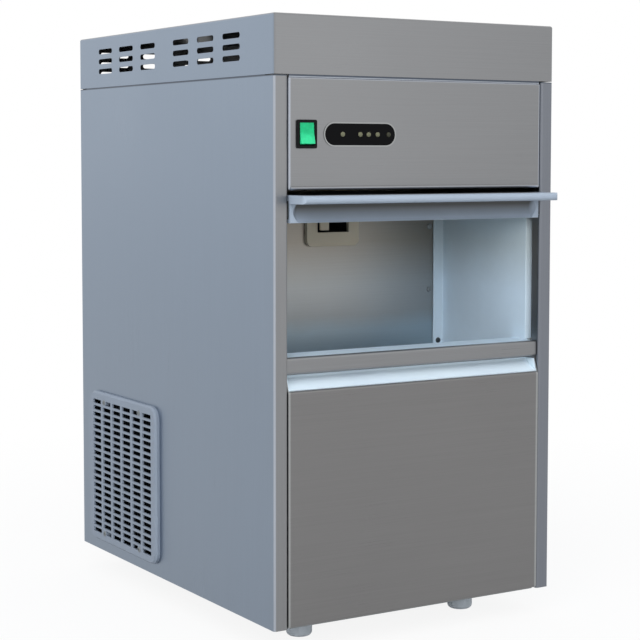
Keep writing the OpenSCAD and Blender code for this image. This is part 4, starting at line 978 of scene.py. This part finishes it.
class ICE_OT_water(bpy.types.Operator):
    """Water tank, float, hoses and the fittings at the back"""

    bl_idname = "ice.water"
    bl_label = "Water"

    def execute(self, context):
        look = context.scene.ice_finish
        wear(("water_tank", "float_valve"), moulded("tank_plastic", look.liner, roughness=0.4))
        wear(("float_arm",), moulded("float_plastic", look.grey_plastic, roughness=0.45))
        wear(("feed_hose", "supply_hose"),
             moulded("hose_plastic", look.hose, roughness=0.3, pebble=0.002))
        brass = polished("inlet_brass", look.brass, roughness=0.28)
        wear(("water_inlet",), brass)
        self.inlet_fitting(context.scene.ice_fitting, brass)
        wear(("drain_spigot",), moulded("spigot_plastic", look.liner, roughness=0.45))
        wear(("cable_gland",), moulded("gland_plastic", look.black_plastic, roughness=0.5))
        return {"FINISHED"}

    def inlet_fitting(self, size, brass):
        """Bored water inlet with its thread and hexagon nut."""
        low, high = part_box("water_inlet")
        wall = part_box("back_panel")[1].y
        sheet = 0.001
        nut, nut_height = (high.x - low.x) / 2, 0.006
        crest = nut - 0.005
        root = crest - size.thread_depth
        collar = crest + 0.004
        stub, stub_end = 0.007, low.y + 0.012
        bore, bore_end = 0.008, high.y - 0.018
        pitch = size.thread_pitch
        start = wall + nut_height + 0.0015
        profile = [
            (0.0, low.y), (stub, low.y), (stub, stub_end), (collar, stub_end),
            (collar, wall - sheet), (root, wall - sheet), (root, start)]
        ridge = ((root, 0.1), (crest, 0.45), (crest, 0.65), (root, 1.0))
        for ring in range(int((high.y - start) / pitch)):
            foot = start + ring * pitch
            profile += [(radius, foot + pitch * share) for radius, share in ridge]
        profile += [(root, high.y), (bore, high.y), (bore, bore_end), (0.0, bore_end)]
        shape = bmesh.new()
        points = [shape.verts.new((radius, y, 0.0)) for radius, y in profile]
        lines = [shape.edges.new(pair) for pair in zip(points, points[1:])]
        bmesh.ops.spin(
            shape, geom=points + lines, cent=(0, 0, 0), axis=(0, 1, 0), angle=math.tau, steps=48,
            use_merge=True)
        flat_up = Matrix.Rotation(math.radians(30), 4, "Z")
        turn = Matrix.Rotation(math.radians(90), 4, "X") @ flat_up
        hexagon = bmesh.ops.create_cone(
            shape, cap_ends=True, segments=6, radius1=nut, radius2=nut, depth=nut_height,
            matrix=Matrix.Translation((0, wall + nut_height / 2, 0)) @ turn)["verts"]
        rims = {edge for corner in hexagon for edge in corner.link_edges}
        bmesh.ops.bevel(
            shape, geom=list(rims), offset=size.edge_radius, segments=size.edge_steps,
            profile=0.5, affect="EDGES", material=-1)
        close_up(shape, limit=math.radians(30))
        bmesh.ops.translate(
            shape, verts=shape.verts, vec=((low.x + high.x) / 2, 0, (low.z + high.z) / 2))
        new_piece("inlet_fitting", shape, "cabinet", [brass], ("water_inlet",))


class ICE_OT_refrigeration(bpy.types.Operator):
    """Compressor, condenser, fan and pipes"""

    bl_idname = "ice.refrigeration"
    bl_label = "Refrigeration"

    def execute(self, context):
        look = context.scene.ice_finish
        wear(("compressor",), painted("compressor_paint", look.black_plastic, roughness=0.35))
        wear(("compressor_grommets",), moulded(
            "mount_rubber", look.rubber, roughness=0.75, pebble=0.0015, depth=0.0001))
        # The dark fins also give painted shade behind the grille's slots
        wear(("condenser",), polished("fin_aluminium", look.aluminium, roughness=0.4))
        wear(("fan_shroud", "fan_blade"),
             moulded("fan_plastic", look.black_plastic, roughness=0.55))
        wear(("fan_motor",), painted("fan_motor_paint", look.enamel))
        wear(("discharge_pipe", "liquid_pipe", "suction_pipe", "filter_drier"),
             drawn_copper("pipe_copper", look.copper))
        return {"FINISHED"}


class ICE_PT_panel(bpy.types.Panel):
    """Lists the machine's settings and pieces"""

    bl_idname = "ICE_PT_panel"
    bl_label = "Ice Machine"
    bl_space_type = "VIEW_3D"
    bl_region_type = "UI"
    bl_category = "Ice Machine"

    def draw(self, context):
        for group in ("ice_finish", "ice_fitting", "ice_stage"):
            settings = getattr(context.scene, group)
            column = self.layout.column()
            for key in settings.__annotations__:
                column.prop(settings, key)
        for operator in OPERATORS:
            self.layout.operator(operator.bl_idname)


OPERATORS = (
    ICE_OT_stage, ICE_OT_cabinet, ICE_OT_grille, ICE_OT_bin, ICE_OT_door, ICE_OT_controls,
    ICE_OT_ice_maker, ICE_OT_water, ICE_OT_refrigeration)
CLASSES = (FinishSettings, FittingSettings, StageSettings) + OPERATORS + (ICE_PT_panel,)


def register():
    for part in CLASSES:
        bpy.utils.register_class(part)
    bpy.types.Scene.ice_finish = PointerProperty(type=FinishSettings)
    bpy.types.Scene.ice_fitting = PointerProperty(type=FittingSettings)
    bpy.types.Scene.ice_stage = PointerProperty(type=StageSettings)


def unregister():
    for group in ("ice_finish", "ice_fitting", "ice_stage"):
        delattr(bpy.types.Scene, group)
    for part in reversed(CLASSES):
        bpy.utils.unregister_class(part)


def main():
    register()
    bpy.ops.ice.stage()
    bpy.ops.ice.cabinet()
    bpy.ops.ice.grille()
    bpy.ops.ice.bin()
    bpy.ops.ice.door()
    bpy.ops.ice.controls()
    bpy.ops.ice.ice_maker()
    bpy.ops.ice.water()
    bpy.ops.ice.refrigeration()


if __name__ == "__main__":
    main()
